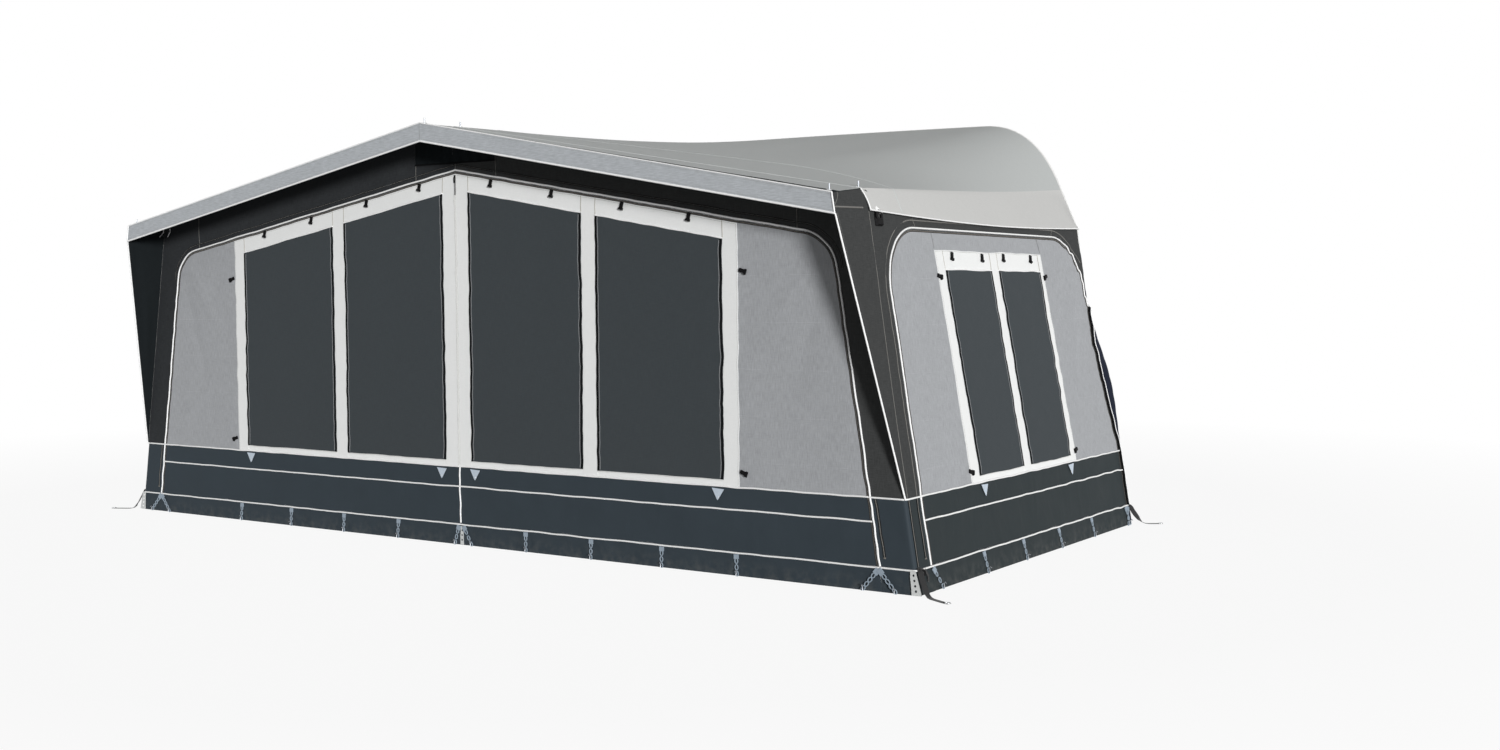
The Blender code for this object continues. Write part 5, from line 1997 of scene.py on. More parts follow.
@dataclass
class Walls(SubAssembly):
    """The front and side walls: surrounds, zip-out panels, frames, windows and blinds."""

    blind_face: float = 0.0046
    blind_lap: float = 0.012

    def build(self) -> None:
        """Make every wall."""
        for plan in (FrontPlan(), FlankPlan()):
            for side in Side:
                wall = Wall(plan.face, side)
                self.surround(plan, wall)
                self.panel(plan, wall)
                self.frame(plan, wall)
                self.foil(plan, wall)
                for word, window in zip(plan.blinds, plan.windows(0.0)):
                    self.blind(plan, wall, wall.name(f"blind_{word}"), window)

    def surround(self, plan: FrontPlan, wall: Wall) -> None:
        """The dark cloth round the zip-out panel, with the piping that covers the zip.

        Args:
            plan: the wall's outlines and fittings.
            wall: the wall.
        """
        side = wall.side
        # On the front, plan.dark is the darker copy of the charcoal cloth, painted shade on the
        # left surround; the right keeps the charcoal.
        outer = plan.dark if side is Side.LEFT else PALETTE.charcoal
        cut = Cut(wall, plan.surround(), pitch=0.027, outer=outer, inner=PALETTE.lining,
                  relief=Relief(0.0028, 0.22, 1.6, 0.05, 11.0 + side.value))
        node = wall.name("surround")
        piece = self.piece(f"{node}_cloth", cut.mesh(), "tent", "charcoal_cloth", node)
        dress = Dresser(self.trees, wall)
        plan.dress_surround(dress)
        self.declare(piece, cut.area, 5.0, Hold.STRETCHED, [f"upright_{side.word}"],
                     self.trim(f"{node}_trim", dress.meshes, "tent", "bead"))

    def panel(self, plan: FrontPlan, wall: Wall) -> None:
        """The zip-out panel: light cloth over its strip of mud wall.

        Args:
            plan: the wall's outlines and fittings.
            wall: the wall.
        """
        side, body, node = wall.side.value, wall.name("door"), wall.name("panel")
        creases = (Crease((0.30, 1.58), (0.60, 1.20), 0.020, 0.0025),
                   Crease((2.36, 1.45), (2.16, 0.75), 0.028, -0.003),
                   Crease((2.30, 1.55), (1.96, 1.05), 0.022, 0.0028),
                   Crease((2.48, 0.55), (2.02, 0.95), 0.022, 0.0025))
        seed = 21.0 + side + 4 * (not wall.front)
        cut = Cut(wall, plan.panel(), [plan.frame(0.015)],
                  relief=Relief(0.0034, 0.30, 2.2, 0.05, seed, creases))
        piece = self.piece(f"{node}_cloth", cut.mesh(), body, "panel_cloth", node)
        mud = Cut(wall, plan.mud(), face=0.0010, outer=plan.mud_cloth,
                  relief=Relief(0.0024, 0.35, 0.6, 0.03, 31.0 + side))
        lower = self.piece(f"{node}_mud_flap", mud.mesh(), body, "mud_wall_pvc")
        dress = Dresser(self.trees, wall)
        plan.dress_door(dress)
        self.declare(piece, cut.area, plan.reach, Hold.STRETCHED,
                     [f"{wall.name('surround')}_cloth"],
                     self.trim(f"{node}_trim", dress.meshes, body, "bead"))
        self.declare(lower, mud.area, 2.5, Hold.HUNG, [f"{node}_cloth"])

    def frame(self, plan: FrontPlan, wall: Wall) -> None:
        """The off-white window frame with its toggles and pull tabs.

        Args:
            plan: the wall's outlines and fittings.
            wall: the wall.
        """
        body, name = wall.name("door"), wall.name("window_frame")
        creases = tuple(Crease((x + 0.02, z + 0.01), (x + 0.11, z - 0.07), 0.012, 0.0016)
                        for x, z in plan.toggles)
        relief = Relief(0.0009, 0.25, calm=0.02, seed=41.0 + wall.side.value, creases=creases)
        cuts = [Cut(wall, plan.frame(0.0), plan.windows(-self.blind_lap), 0.0018, 0.0008, 0.03,
                    relief, PALETTE.welt)]
        for index, band in enumerate(plan.bands()):
            relief = Relief(0.0004, 0.2, calm=0.02, seed=45.0 + index)
            cuts.append(Cut(wall, band, (), 0.0010, 0.0021, 0.03, relief, PALETTE.welt))
        piece = self.piece(name, join_meshes(name, [cut.mesh() for cut in cuts]), body,
                           "panel_cloth")
        dress = Dresser(self.trees, wall)
        # Tapes at the strips' edges: a seam line with painted shadow of the strips' step.
        dress.tape(plan.frame_seams(), 0.0035, 0.0024, PALETTE.seam_shade)
        outline = plan.frame(0.006)
        dress.stitch([outline[1:] + outline[:1]], 0.0024)
        middle = sum(x for x, _ in plan.frame(0.0)) / 4
        spots = [(spot, -0.25) for spot in plan.toggles]
        for spot in plan.side_toggles:
            outwards = -1.25 if wall.front or spot[0] >= middle else 1.25
            spots.append((spot, outwards * (-wall.side.value if wall.front else wall.side.value)))
        for spot, turn in spots:
            dress.hang(spot, Units.toggle(), PALETTE.plastic, 0.0022, turn)
        for across in plan.tabs:
            dress.hang((across, 0.424), Units.tab(0.074, 0.058, 0.0014), PALETTE.tab, 0.0066)
            dress.hang((across, 0.382), Units.torus(0.0032, 0.0012), PALETTE.bright, 0.0082)
        self.declare(piece, sum(cut.area for cut in cuts), 6.0, Hold.STRETCHED,
                     [f"{wall.name('panel')}_cloth"],
                     self.trim(wall.name("toggles"), dress.meshes, body, "knob_plastic"))

    def foil(self, plan: FrontPlan, wall: Wall) -> None:
        """The clear foil behind the windows.

        Args:
            plan: the wall's outlines and fittings.
            wall: the wall.
        """
        near, far = plan.windows(0.02 - self.blind_lap)
        relief = Relief(0.001, 0.4, calm=0.05, seed=51.0 + wall.side.value)
        cut = Cut(wall, [near[0], far[1], far[2], near[3]], (), 0.0006, -0.0045, 0.05, relief,
                  PALETTE.foil)
        piece = self.piece(wall.name("clear_foil"), cut.mesh(), wall.name("door"), "clear_foil",
                           wall.name("foil"))
        self.declare(piece, cut.area, 1.2, Hold.STRETCHED, [wall.name("window_frame")])

    @staticmethod
    def rippled(window: Line, edge: int, swing: float, inset: float = 0.0,
                trim: float = 0.0) -> list[Point]:
        """A blind's upright edge from foot to head, with the zip's ripple.

        Args:
            window: the window's corners, from the near foot.
            edge: 0 for the near edge and 1 for the far one.
            swing: how far the ripple swings.
            inset: how far inside the edge the line runs.
            trim: how much shorter it is at each end.

        Returns:
            The line's points.
        """
        foot, head = window[edge], window[3 - edge]
        steps = 60
        result = []
        for step in range(steps + 1):
            share = step / steps
            z = foot[1] + trim + (head[1] - foot[1] - 2 * trim) * share
            wave = noise.noise(Vector((z * 13, foot[0] * 7, 1.0 + edge)))
            wave += 0.6 * noise.noise(Vector((z * 31, foot[0] * 7, 5.0)))
            across = foot[0] + (head[0] - foot[0]) * share + (1 - 2 * edge) * inset
            result.append((across + swing * wave * min(1.0, 12 * share, 12 * (1 - share)), z))
        return result

    def blind(self, plan: FrontPlan, wall: Wall, node: str, window: Line) -> None:
        """An outside blind: slate cloth, black zip bands down its sides and a piped top.

        Args:
            plan: the wall's outlines and fittings.
            wall: the wall.
            node: the CAD node that it stands for.
            window: its corners, from the near foot.
        """
        (near, low), (far, _), _, (top, high) = window
        creases = (Crease((near + 0.05, low + 0.05), (far - 0.1, low + 0.035), 0.012, 0.0022),
                   Crease((near + 0.1, low + 0.10), (far - 0.05, low + 0.085), 0.014, -0.0018),
                   Crease((top + 0.04, high - 0.04), (far - 0.2, high - 0.35), 0.03, 0.0012))
        relief = Relief(0.0018, 0.35, 1.8, 0.03, 61.0 + near * 3 + wall.side.value, creases)
        outline = (self.rippled(window, 0, plan.ripples[0])[::-1]
                   + self.rippled(window, 1, plan.ripples[1]))
        face = self.blind_face
        cut = Cut(wall, outline, (), 0.0018, face, 0.03, relief, PALETTE.blind)
        piece = self.piece(f"{node}_cloth", cut.mesh(), node, "blind_cloth", node)
        bands, zips = [[self.rippled(window, edge, plan.ripples[edge], inset, trim)
                        for edge in (0, 1)] for inset, trim in ((0.0080, 0.001), (0.0185, 0.010))]
        dress = Dresser(self.trees, wall)
        dress.tape(bands, 0.0145, face + 0.0007, PALETTE.zip_band)
        dress.zip(zips, face + 0.0006, 0.0062, tape=PALETTE.blind_zip)
        dress.piping([[window[3], window[2]]], 0.0040, face - 0.0005)
        dress.piping([[window[0], window[1]]], 0.0026, face - 0.0005, PALETTE.bead)
        self.declare(piece, cut.area, 1.3, Hold.HUNG, [wall.name("window_frame")],
                     self.trim(f"{node}_trim", dress.meshes, node, "bead"))


@dataclass
class MudWall(SubAssembly):
    """The foot of the walls: skirts, bent corner panels, ladder straps and anchor strips."""

    front_ladders: tuple[float, ...] = (0.485, 0.937, 1.400, 1.863)
    side_ladders: tuple[float, ...] = (0.70, 1.16, 1.62, 2.08)
    ladder_top: float = 0.102
    ladder_foot: float = 0.012
    ladder_off: float = 0.0045
    link: Sequence[float] = (0.031, 0.0215, 0.0046, 0.0036)
    link_pitch: float = 0.0255
    clip_width: float = 0.028
    clip_thickness: float = 0.004
    peg: Line = ((0.016, 0.012), (0.010, 0.019), (0.004, 0.014), (0.008, -0.010))
    peg_radius: float = 0.0022
    hole_radius: float = 0.006
    corner_radius: float = 0.018
    corner_top: float = 0.438
    corner_width: float = 0.34
    corner_reach: float = 0.44
    corner_run: float = 0.35
    fold_depth: float = 0.004
    corner_rows: int = 30
    corner_steps: int = 8

    def build(self) -> None:
        """Make both halves."""
        for side in Side:
            self.skirt(Wall(Face.FRONT, side))
            self.skirt(Wall(Face.FLANK, side))
            self.corner(side)

    def skirt(self, wall: Wall) -> None:
        """The lowest strip under a panel, pulled into small folds under its ladder straps.

        Args:
            wall: the wall that it lies under.
        """
        front, word = wall.front, wall.side.word
        ladders = self.front_ladders if front else self.side_ladders
        near, rear = PLAN.flank_inset + PLAN.gap, PLAN.rear_low + PLAN.tail
        start, end, shift, low, reach = near, rear, 0.012, 0.0008, 2.5
        last = ((near + 0.004, near + 0.062, 0.007), (rear - 0.060, rear - 0.030, 0.006),
                (rear - 0.030, rear - 0.066, 0.009))
        far = [rear, rear]
        if front:
            near, start, end = PLAN.gap / 2, 0.001, PLAN.zip_x(PLAN.skirt_piping)
            shift, low, reach = 0.004, 0.0, 2.7
            last = ((end - 0.004, end - 0.080, 0.007), (end + 0.006, end + 0.088, 0.009))
            far = [PLAN.zip_x(z) - PLAN.gap for z in (0.0, PLAN.skirt)]
        high = PLAN.skirt - PLAN.gap
        creases = tuple(Crease((x, 0.11), (x + run, foot), width, rise) for x in ladders
                        for run, foot, width, rise in ((-0.07, 0.0, 0.010, 0.0035),
                                                       (0.06, 0.01, 0.009, -0.0035)))
        # The side walls' skirts take the darker copy of the PVC: painted shade.
        cut = Cut(wall, [(near, low), (far[0], low), (far[1], high), (near, high)], pitch=0.016,
                  relief=Relief(0.005, 0.17, 0.8, 0.02, 71.0 + wall.side.value, creases),
                  outer=PALETTE.mud if front else PALETTE.mud_side)
        node = wall.name("skirt")
        piece = self.piece(f"{node}_cloth", cut.mesh(), "tent", "mud_wall_pvc", node)
        dress = Dresser(self.trees, wall)
        dress.piping([[(start, PLAN.skirt_piping), (end, PLAN.skirt_piping)]], off=0.0045)
        for top in ladders:
            self.ladder(dress, top, top + shift, self.ladder_off)
        if front and wall.side is Side.RIGHT:
            self.anchor(dress, [(0.0, 0.002), (0.026, 0.002), (0.024, 0.104), (0.004, 0.104)],
                        (0.028, 0.055, 0.082), 0.0034)
            last = ((-0.008, -0.034, 0.006), (0.030, 0.088, 0.006), *last)
        for top, foot, off in last:
            self.ladder(dress, top, foot, off)
        holder = "corner_panel" if front else "side_surround"
        self.declare(piece, cut.area, reach, Hold.HUNG, [f"{holder}_{word}_cloth"],
                     self.trim(f"{node}_trim", dress.meshes, "tent", "mud_wall_pvc"))

    def ladder(self, dress: Dresser, top: float, foot: float, off: float) -> None:
        """A rubber ladder strap: clip, links and the peg's hook.

        Args:
            dress: the wall's trims.
            top: where its clip sits along the wall.
            foot: where its last loop sits.
            off: how far it stands off the wall.
        """
        head = dress.wall.at(top, self.ladder_top, off)
        toe = dress.wall.at(foot, self.ladder_foot, off + 0.004)
        run = toe - head
        dress.repeat([[head + run * 0.30, head + run]], Units.link(*self.link), self.link_pitch,
                     0.0, PALETTE.rubber)
        dress.tape([[head - run * 0.06, head + run * 0.20]], self.clip_width,
                   finish=PALETTE.rubber, thickness=self.clip_thickness)
        peg = [toe + dress.facing * out + Vector((0, 0, up)) for out, up in self.peg]
        dress.piping([peg], self.peg_radius, finish=PALETTE.steel, facing=Vector((0, 1, 0)))

    def anchor(self, dress: Dresser, outline: Line, holes: Sequence[float], off: float) -> None:
        """A pale anchor strip with punched holes down its middle.

        Args:
            dress: the wall's trims.
            outline: its corners, from the foot.
            holes: heights of its holes.
            off: how far it stands off the wall.
        """
        low_x = (outline[0][0] + outline[1][0]) / 2
        high_x = (outline[2][0] + outline[3][0]) / 2
        rounds, radius = [], self.hole_radius
        for z in holes:
            x = low_x + (high_x - low_x) * z / outline[2][1]
            rounds.append([(x + radius * cos, z + radius * sin) for cos, sin in around(10)])
        relief = Relief(swell=0.0006, length=0.05, calm=0.004, seed=8.0)
        dress.meshes.append(Cut(dress.wall, outline, rounds, 0.0014, off, 0.008, relief,
                                PALETTE.anchor).mesh())

    def corner_path(self, z: float, off: float) -> list[tuple[Vector, float]]:
        """Points round the front corner at a height, each with its run from the front zip.

        Args:
            z: the height.
            off: how far the points stand off.

        Returns:
            Each point (x, y) with its run.
        """
        near, outer = PLAN.zip_x(z) + PLAN.gap, PLAN.side_x(z)
        far = PLAN.flank_inset - PLAN.gap
        radius, steps = self.corner_radius, self.corner_steps
        points = [Vector((near + (outer - radius - near) * step / steps, -off))
                  for step in range(steps)]
        for step in range(steps + 1):
            angle = math.pi / 2 * step / steps
            points.append(Vector((outer - radius + (radius + off) * math.sin(angle),
                                  radius - (radius + off) * math.cos(angle))))
        points += [Vector((outer + off, radius + (far - radius) * (step + 1) / (steps - 1)))
                   for step in range(steps - 1)]
        runs = [0.0]
        for point, after in zip(points, points[1:]):
            runs.append(runs[-1] + (after - point).length)
        return list(zip(points, runs))

    def corner(self, side: Side) -> None:
        """The bent panel round a front corner, its part round the side in the darker copy of the
        PVC as painted shade.

        Args:
            side: its side.
        """
        grid, rows = [], self.corner_rows
        for step in range(rows + 1):
            z = self.corner_top * step / rows
            row = []
            for point, run in self.corner_path(z, 0.0006):
                fold = noise.noise(Vector((run * 14, z * 5, 80.0 + side.value)))
                out = (self.fold_depth * fold * math.sin(math.pi * step / rows)
                       * math.sin(math.pi * run / self.corner_run))
                row.append((Vector((side.value * (point.x + max(0.0, out)),
                                    point.y - abs(out) * 0.6 - PLAN.middle_y, z)), (run, z)))
            grid.append(row[::side.value])
        mesh = grid_sheet(grid, 0.002, PALETTE.mud, PALETTE.mud)
        columns = list(range(len(grid[0]) - 1))[::side.value]
        # The faces round the side take the darker copy of the PVC: painted shade.
        recolour(mesh, PALETTE.mud_side, [
            face for face in mesh.polygons[:rows * len(columns)]
            if columns[face.index % len(columns)] >= 2 * self.corner_steps])
        node = f"corner_panel_{side.word}"
        piece = self.piece(f"{node}_cloth", mesh, "tent", "mud_wall_pvc", node)
        flank = Dresser(self.trees, Wall(Face.FLANK, side))
        flank.piping([[Vector((side.value * point.x, point.y - PLAN.middle_y, z))
                       for point, _ in self.corner_path(z, 0.0032)]
                      for z in (PLAN.piping[0], PLAN.skirt_piping)], facing=Vector((0, 0, 1)))
        lines = [[(0.026, 0.13), (0.027, 0.43)], [(0.108, 0.158), (0.112, 0.43)]]
        flank.tape(lines, 0.017, 0.0018, PALETTE.zip_band)
        flank.seam(lines, 0.005, off=0.0026)
        cover = PLAN.flank_inset - PLAN.cover
        flank.piping([[(cover, PLAN.skirt), (cover, PLAN.mud_wall)]], 0.0042)
        flank.hang((0.108, 0.156), Units.brick(0.008, 0.012, 0.004), PALETTE.coil, 0.003)
        self.strap_end(flank)
        front = Dresser(self.trees, Wall(Face.FRONT, side))
        near = PLAN.zip_x(0.16) + 0.040
        lines = [[(near, 0.162), (PLAN.zip_x(0.43) + 0.036, 0.43)]]
        front.tape(lines, 0.014, 0.0018)
        front.seam(lines, 0.004, off=0.0026)
        front.hang((near, 0.160), Units.brick(0.008, 0.012, 0.004), PALETTE.coil, 0.003)
        edge = PLAN.ground_half
        self.anchor(front, [(edge - 0.036, 0.002), (edge + 0.016, 0.002), (edge - 0.016, 0.116),
                            (edge - 0.044, 0.116)], (0.022, 0.046, 0.070, 0.094), 0.0085)
        self.declare(piece, self.corner_width * self.corner_top, self.corner_reach, Hold.HUNG,
                     [f"front_surround_{side.word}_cloth"],
                     self.trim(f"{node}_trim", flank.meshes + front.meshes, "tent",
                               "mud_wall_pvc"))

    @staticmethod
    def strap_end(dress: Dresser) -> None:
        """The black loop and buckle from which the corner's storm strap runs.

        Args:
            dress: the wall's trims.
        """
        dress.tape([[(0.004, 0.116), (0.036, 0.112), (0.070, 0.094)]], 0.024, 0.008,
                   PALETTE.strap, 0.002)
        dress.hang((0.050, 0.098), Units.link(0.030, 0.034, 0.007, 0.006), PALETTE.plastic, 0.011,
                   -0.5 * dress.wall.side.value)
        dress.tape([[(0.066, 0.110), (0.094, 0.078), (0.086, 0.052)]], 0.014, 0.010,
                   PALETTE.strap, 0.0016)


@dataclass
class DraughtPads(SubAssembly):
    """The quilted pads between the side walls' rear edges and the caravan."""

    thickness: float = 0.012
    foot: float = 0.0025
    channel: float = 0.11
    quilting: float = 0.45
    rings: int = 110
    steps: int = 24
    bulge: float = 0.045
    bulge_height: float = 0.86
    bulge_spread: float = 0.34

    def build(self) -> None:
        """Make both pads."""
        for side in Side:
            self.pad(side)

    @staticmethod
    def edges(z: float) -> tuple[Vector, Vector]:
        """The pad's front and rear edge (x, y) at a height.

        Args:
            z: the height.

        Returns:
            The front and the rear edge.
        """
        share = (PLAN.knee_high - z) / (PLAN.knee_high - PLAN.knee_low)
        share = min(1.0, max(0.0, share))
        y = PLAN.rear_high + (PLAN.rear_low - PLAN.rear_high) * share
        return (Vector((PLAN.side_x(z), y + PLAN.tail + PLAN.pad_gap)),
                Vector((PLAN.leg_x(z), PLAN.depth)))

    def pad(self, side: Side) -> None:
        """One pad: a crowned closed form with sewn channels.

        Args:
            side: its side.
        """
        low, top = self.foot, PLAN.flap_bottom(1.0) - PLAN.header_lap
        rings = []
        for step in range(self.rings + 1):
            z = low + (top - low) * step / self.rings
            near, far = self.edges(z)
            across = far - near
            normal = Vector((across.y, -across.x)).normalized()
            sewn = abs(math.sin(math.pi * z / self.channel)) ** 0.6
            puff = (1 - self.quilting) + self.quilting * sewn
            puff *= min(1.0, 0.25 + min(step, self.rings - step) / 2) * self.thickness / 2
            out = self.bulge * math.exp(-((z - self.bulge_height) / self.bulge_spread) ** 2)
            ring = []
            for cos, sin in around(self.steps):
                swell = math.copysign(abs(sin) ** 0.55, sin) * puff + out * (1 - cos * cos)
                spot = near + across * (0.5 - 0.5 * cos) + normal * (swell - self.thickness / 2)
                ring.append((side.value * spot.x, spot.y - PLAN.middle_y, z))
            rings.append(ring)
        mesh = skin("pad", rings, PALETTE.pad, sharp=80.0)
        layer = mesh.uv_layers.new(name="cloth")
        for corner in mesh.loops:
            place = mesh.vertices[corner.vertex_index].co
            layer.data[corner.index].uv = (place.x + place.y, place.z)
        self.piece(f"draught_pad_{side.word}", mesh, "tent", "draught_pad",
                             f"rear_pad_{side.word}")


@dataclass
class PoleFrame(SubAssembly):
    """Finishes of the poles, the clamp knobs, the rail's bead and the front zip's slider."""

    nodes: dict[str, Object]
    lobes: int = 6
    steps: int = 48
    lobe_depth: float = 0.10
    stem: float = 0.009  # greatest radius without lobes
    profile: Line = ((0.0, 0.006), (0.014, 0.006), (0.0141, 0.0145), (0.0155, 0.0165),
                     (0.0235, 0.0168), (0.0255, 0.0150), (0.0262, 0.0100), (0.0262, 0.0002))

    def build(self) -> None:
        """Dress the frame's nodes and make the small moving pieces."""
        finishes = {"roof_pole": PALETTE.steel, "canopy_arm": PALETTE.steel,
                    "front_rafter": PALETTE.steel, "canopy_rafter": PALETTE.steel,
                    "upright": PALETTE.steel, "leg_": PALETTE.bright, "rail_bead": PALETTE.bead}
        for name, node in self.nodes.items():
            for start, finish in finishes.items():
                if name.startswith(start):
                    self.dress(node, finish)
        for place in ("centre", "left", "right"):
            self.knob(place)
        self.slider()

    @staticmethod
    def dress(node: Object, finish: Finish) -> None:
        """Give a CAD node a finish.

        Args:
            node: the node.
            finish: its finish.
        """
        for held in node.material_slots:
            held.material = finish.material()
        if not node.material_slots:
            node.data.materials.append(finish.material())

    def knob(self, place: str) -> None:
        """A lobed clamp knob on its stem.

        Args:
            place: which pole it clamps.
        """
        node = f"clamp_knob_{place}"
        low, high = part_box(node)
        x, z = (low[0] + high[0]) / 2, (low[2] + high[2]) / 2
        rings = []
        for depth, radius in self.profile:
            ring = []
            for step, (cos, sin) in enumerate(around(self.steps)):
                wave = 0.5 + 0.5 * math.cos(2 * math.pi * self.lobes * step / self.steps)
                reach = radius * (1 - self.lobe_depth * wave) if radius > self.stem else radius
                ring.append((x + reach * cos, low[1] + depth, z + reach * sin))
            rings.append(ring)
        self.piece(f"clamp_knob_head_{place}", skin("knob", rings, PALETTE.plastic), node,
                   "knob_plastic", node)

    def slider(self) -> None:
        """The front zip's slider with its long pull."""
        low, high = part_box("front_zip_slider")
        x, y, top = (low[0] + high[0]) / 2, low[1], high[2]
        dress = Dresser(self.trees, Wall(Face.FRONT, Side.RIGHT))
        dress.meshes.append(moved(Units.brick(0.016, 0.012, 0.005, 0.8),
                                  (x, y + 0.001, top - 0.008), (math.pi / 2, "X"),
                                  (math.pi / 2, "Z"), finish=PALETTE.plastic))
        pull = [Vector((x, y - rise, top - drop)) for rise, drop in
                ((0.0020, 0.010), (0.0034, 0.018), (0.0030, 0.030), (0.0018, 0.043))]
        dress.tape([pull], 0.010, finish=PALETTE.plastic, thickness=0.0026)
        self.piece("front_zip_pull", join_meshes("zip_slider", dress.meshes), "front_zip_slider",
                   "slider_metal", "front_zip_slider")


@dataclass
class StormStraps(SubAssembly):
    """The webbing straps that hold the corners to the ground."""

    width: float = 0.026
    thickness: float = 0.0018
    low: float = 0.02  # height under which the route is lying down
    settle: float = 0.003  # how far it is then let down
    ground_gap: float = 0.0002
    turn_start: float = 0.050  # height at which the strap starts to turn flat
    turn_run: float = 0.032
    ring: Point = (0.012, 0.0024)
    ring_back: float = 0.010
    ring_level: float = 0.0026
    front: Sequence[Sequence[float]] = (
        (-0.0183, 0.0100, 0.1140), (-0.0104, 0.0100, 0.1153), (-0.0025, 0.0085, 0.1125),
        (0.0035, 0.0060, 0.1045), (0.0110, 0.0020, 0.0860), (0.0230, -0.0040, 0.0620),
        (0.0370, -0.0110, 0.0380), (0.0500, -0.0180, 0.0190), (0.0640, -0.0250, 0.0080),
        (0.0800, -0.0330, 0.0045), (0.0980, -0.0430, 0.0042), (0.1180, -0.0540, 0.0042),
        (0.1380, -0.0650, 0.0042), (0.1580, -0.0760, 0.0042), (0.1770, -0.0840, 0.0042),
        (0.1960, -0.0900, 0.0042))
    rear: Sequence[Sequence[float]] = (
        (-0.0173, -0.0420, 0.1080), (-0.0094, -0.0420, 0.1093), (-0.0015, -0.0400, 0.1065),
        (0.0045, -0.0360, 0.0985), (0.0120, -0.0280, 0.0800), (0.0240, -0.0140, 0.0560),
        (0.0370, 0.0000, 0.0340), (0.0500, 0.0130, 0.0170), (0.0650, 0.0270, 0.0075),
        (0.0810, 0.0410, 0.0045), (0.0980, 0.0520, 0.0042), (0.1160, 0.0640, 0.0042),
        (0.1330, 0.0770, 0.0042), (0.1480, 0.0910, 0.0042))

    def build(self) -> None:
        """Make the four straps with their end rings."""
        for side in Side:
            self.strap(side, "front", self.front, 0.0)
            self.strap(side, "rear", self.rear, PLAN.depth)

    def strap(self, side: Side, end: str, route: Sequence[Sequence[float]], depth: float) -> None:
        """One strap along its route: on edge where it leaves the wall, flat on the ground.

        Args:
            side: its side.
            end: its corner's name.
            route: its points, from the ground corner.
            depth: depth of that corner.
        """
        least = self.thickness / 2 + self.ground_gap
        path = [Vector((side.value * (PLAN.ground_half + x), depth + y - PLAN.middle_y,
                        z if z > self.low else max(z - self.settle, least)))
                for x, y, z in route]
        rings = []
        for before, place, after in zip([path[0]] + path, path, path[1:] + [path[-1]]):
            run = after - before
            flat = min(1.0, max(0.0, (self.turn_start - place.z) / self.turn_run))
            face = Vector((side.value * 0.5, -1.0, 0.25)).lerp(Vector((0, 0, 1)), flat)
            across = run.cross(face).normalized() * self.width / 2
            face = across.cross(run).normalized() * self.thickness / 2
            rings.append([place + across * a + face * f
                          for a, f in ((-1, -1), (1, -1), (1, 1), (-1, 1))])
        node = f"{end}_storm_strap_{side.word}"
        piece = self.piece(f"{node}_webbing", skin("strap", rings, PALETTE.strap), "tent",
                           "strap_webbing", node)
        level = (path[-1] - path[-2]).normalized()
        ring = moved(Units.torus(*self.ring), path[-1] - level * self.ring_back
                     + Vector((0, 0, self.ring_level)), finish=PALETTE.bright)
        fitting = self.piece(f"{node}_ring", ring, "tent", "steel_tube")


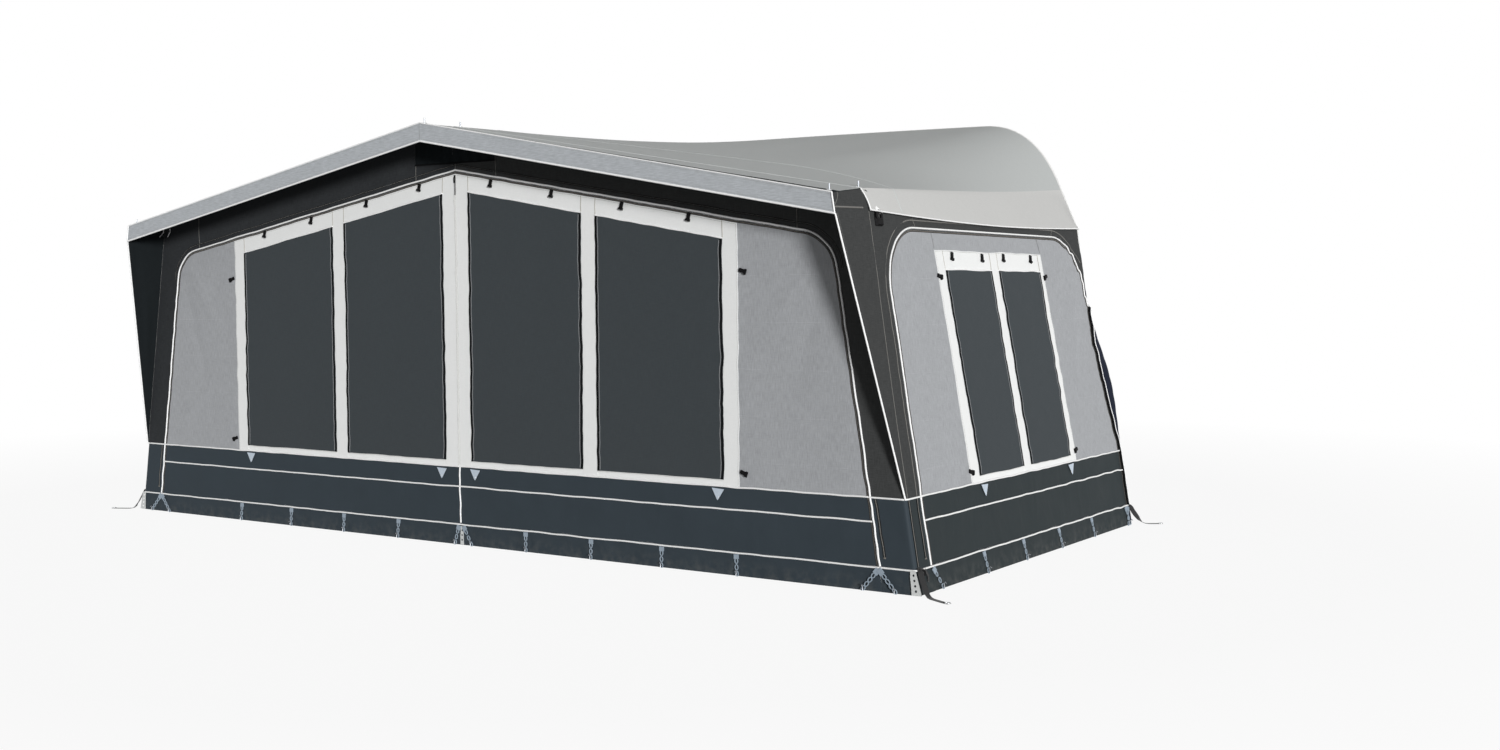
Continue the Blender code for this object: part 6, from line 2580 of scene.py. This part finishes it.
@dataclass
class Studio:
    """Camera, floor, background and lights."""

    eye: tuple[float, float, float] = (6.2458, -7.5952, 1.375)
    yaw: float = 0.5934343
    pitch: float = -0.0502386
    roll: float = -0.00655
    lens: float = 38.115
    sensor: float = 36.0
    view_reach: float = 200.0
    floor_reach: float = 60.0
    floor_level: float = -0.0006
    fade: Point = (4.5, 9.0)
    sky: float = 0.16
    sun: float = 3.2
    sun_height: float = 9.0
    sun_side: float = 54.0
    sun_spread: float = 10.0

    def build(self) -> None:
        """Set up everything that isn't the object."""
        self.camera()
        self.floor()
        self.world()
        self.lamp()
        bpy.context.scene.view_settings.view_transform = "Standard"

    def camera(self) -> None:
        """The camera at the photograph's place."""
        ahead = Vector((-math.sin(self.yaw) * math.cos(self.pitch),
                        math.cos(self.yaw) * math.cos(self.pitch), math.sin(self.pitch)))
        level = Vector((math.cos(self.yaw), math.sin(self.yaw), 0.0))
        above = level.cross(ahead)
        right = level * math.cos(self.roll) + above * math.sin(self.roll)
        up = above * math.cos(self.roll) - level * math.sin(self.roll)
        data = bpy.data.cameras.new("camera")
        data.lens = self.lens
        data.sensor_width = self.sensor
        data.clip_end = self.view_reach
        held = loose("camera", data)
        held.matrix_world = (Matrix.Translation(self.eye)
                             @ Matrix((right, up, -ahead)).transposed().to_4x4())
        bpy.context.scene.camera = held

    @staticmethod
    def seen(writer: NodeWriter) -> Socket:
        """1 for camera, glossy and transmission rays, and 0 for the rest.

        Args:
            writer: the tree that asks.

        Returns:
            The share.
        """
        rays = writer.node("ShaderNodeLightPath")
        first = writer.node("ShaderNodeMath", {0: rays["Is Camera Ray"], 1: rays["Is Glossy Ray"]},
                            operation="MAXIMUM")
        return writer.node("ShaderNodeMath", {0: first[0], 1: rays["Is Transmission Ray"]},
                           operation="MAXIMUM")[0]

    def floor(self) -> None:
        """A pale floor that keeps the shadow and fades into the background."""
        shader = ShaderWriter("floor")
        matt = shader.node("ShaderNodeBsdfDiffuse", {"Color": (0.86, 0.86, 0.86, 1.0)})
        glow = shader.node("ShaderNodeEmission", {"Color": (1.0, 1.0, 1.0, 1.0), "Strength": 1.0})
        away = shader.node("ShaderNodeVectorMath", {0: shader.object_place}, operation="LENGTH")
        fading = shader.spread(away["Value"], *self.fade, 0.91, 1.0)
        share = shader.maths("MULTIPLY", self.seen(shader), fading)
        mixed = shader.node("ShaderNodeMixShader", {0: share, 1: matt[0], 2: glow[0]})
        shader.node("ShaderNodeOutputMaterial", {"Surface": mixed[0]})
        reach, level = self.floor_reach, self.floor_level
        mesh = bpy.data.meshes.new("floor")
        mesh.from_pydata([(-reach, -reach, level), (reach, -reach, level), (reach, reach, level),
                          (-reach, reach, level)], [], [(0, 1, 2, 3)])
        mesh.materials.append(shader.material)
        loose("floor", mesh)

    def world(self) -> None:
        """A white background with a plainer light for the object."""
        world = bpy.data.worlds.new("studio")
        bpy.context.scene.world = world
        world.use_nodes = True
        world.node_tree.nodes.clear()
        writer = NodeWriter(world.node_tree)
        shown, light = [writer.node("ShaderNodeBackground", {"Color": (1, 1, 1, 1),
                                                             "Strength": strength})
                        for strength in (1.0, self.sky)]
        mixed = writer.node("ShaderNodeMixShader", {0: self.seen(writer), 1: light[0],
                                                    2: shown[0]})
        writer.node("ShaderNodeOutputWorld", {"Surface": mixed[0]})

    def lamp(self) -> None:
        """One wide soft lamp from the front right, the same over the whole object."""
        data = bpy.data.lights.new("softbox", "SUN")
        data.energy = self.sun
        data.angle = math.radians(self.sun_spread)
        height, side = math.radians(self.sun_height), math.radians(self.sun_side)
        towards = Vector((math.cos(height) * math.sin(side), -math.cos(height) * math.cos(side),
                          math.sin(height)))
        loose("softbox", data).rotation_euler = towards.to_track_quat("Z", "Y").to_euler()


def main() -> None:
    """Build the whole scene."""
    logging.basicConfig(level=logging.INFO, format="%(name)s: %(message)s")
    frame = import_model()
    Studio().build()
    trees = Trees()
    for assembly in (StormStraps, RoofSheet, Canopy, Walls, MudWall, DraughtPads):
        assembly(trees).build()
    PoleFrame(trees, frame["nodes"]).build()


if __name__ == "__main__":
    main()
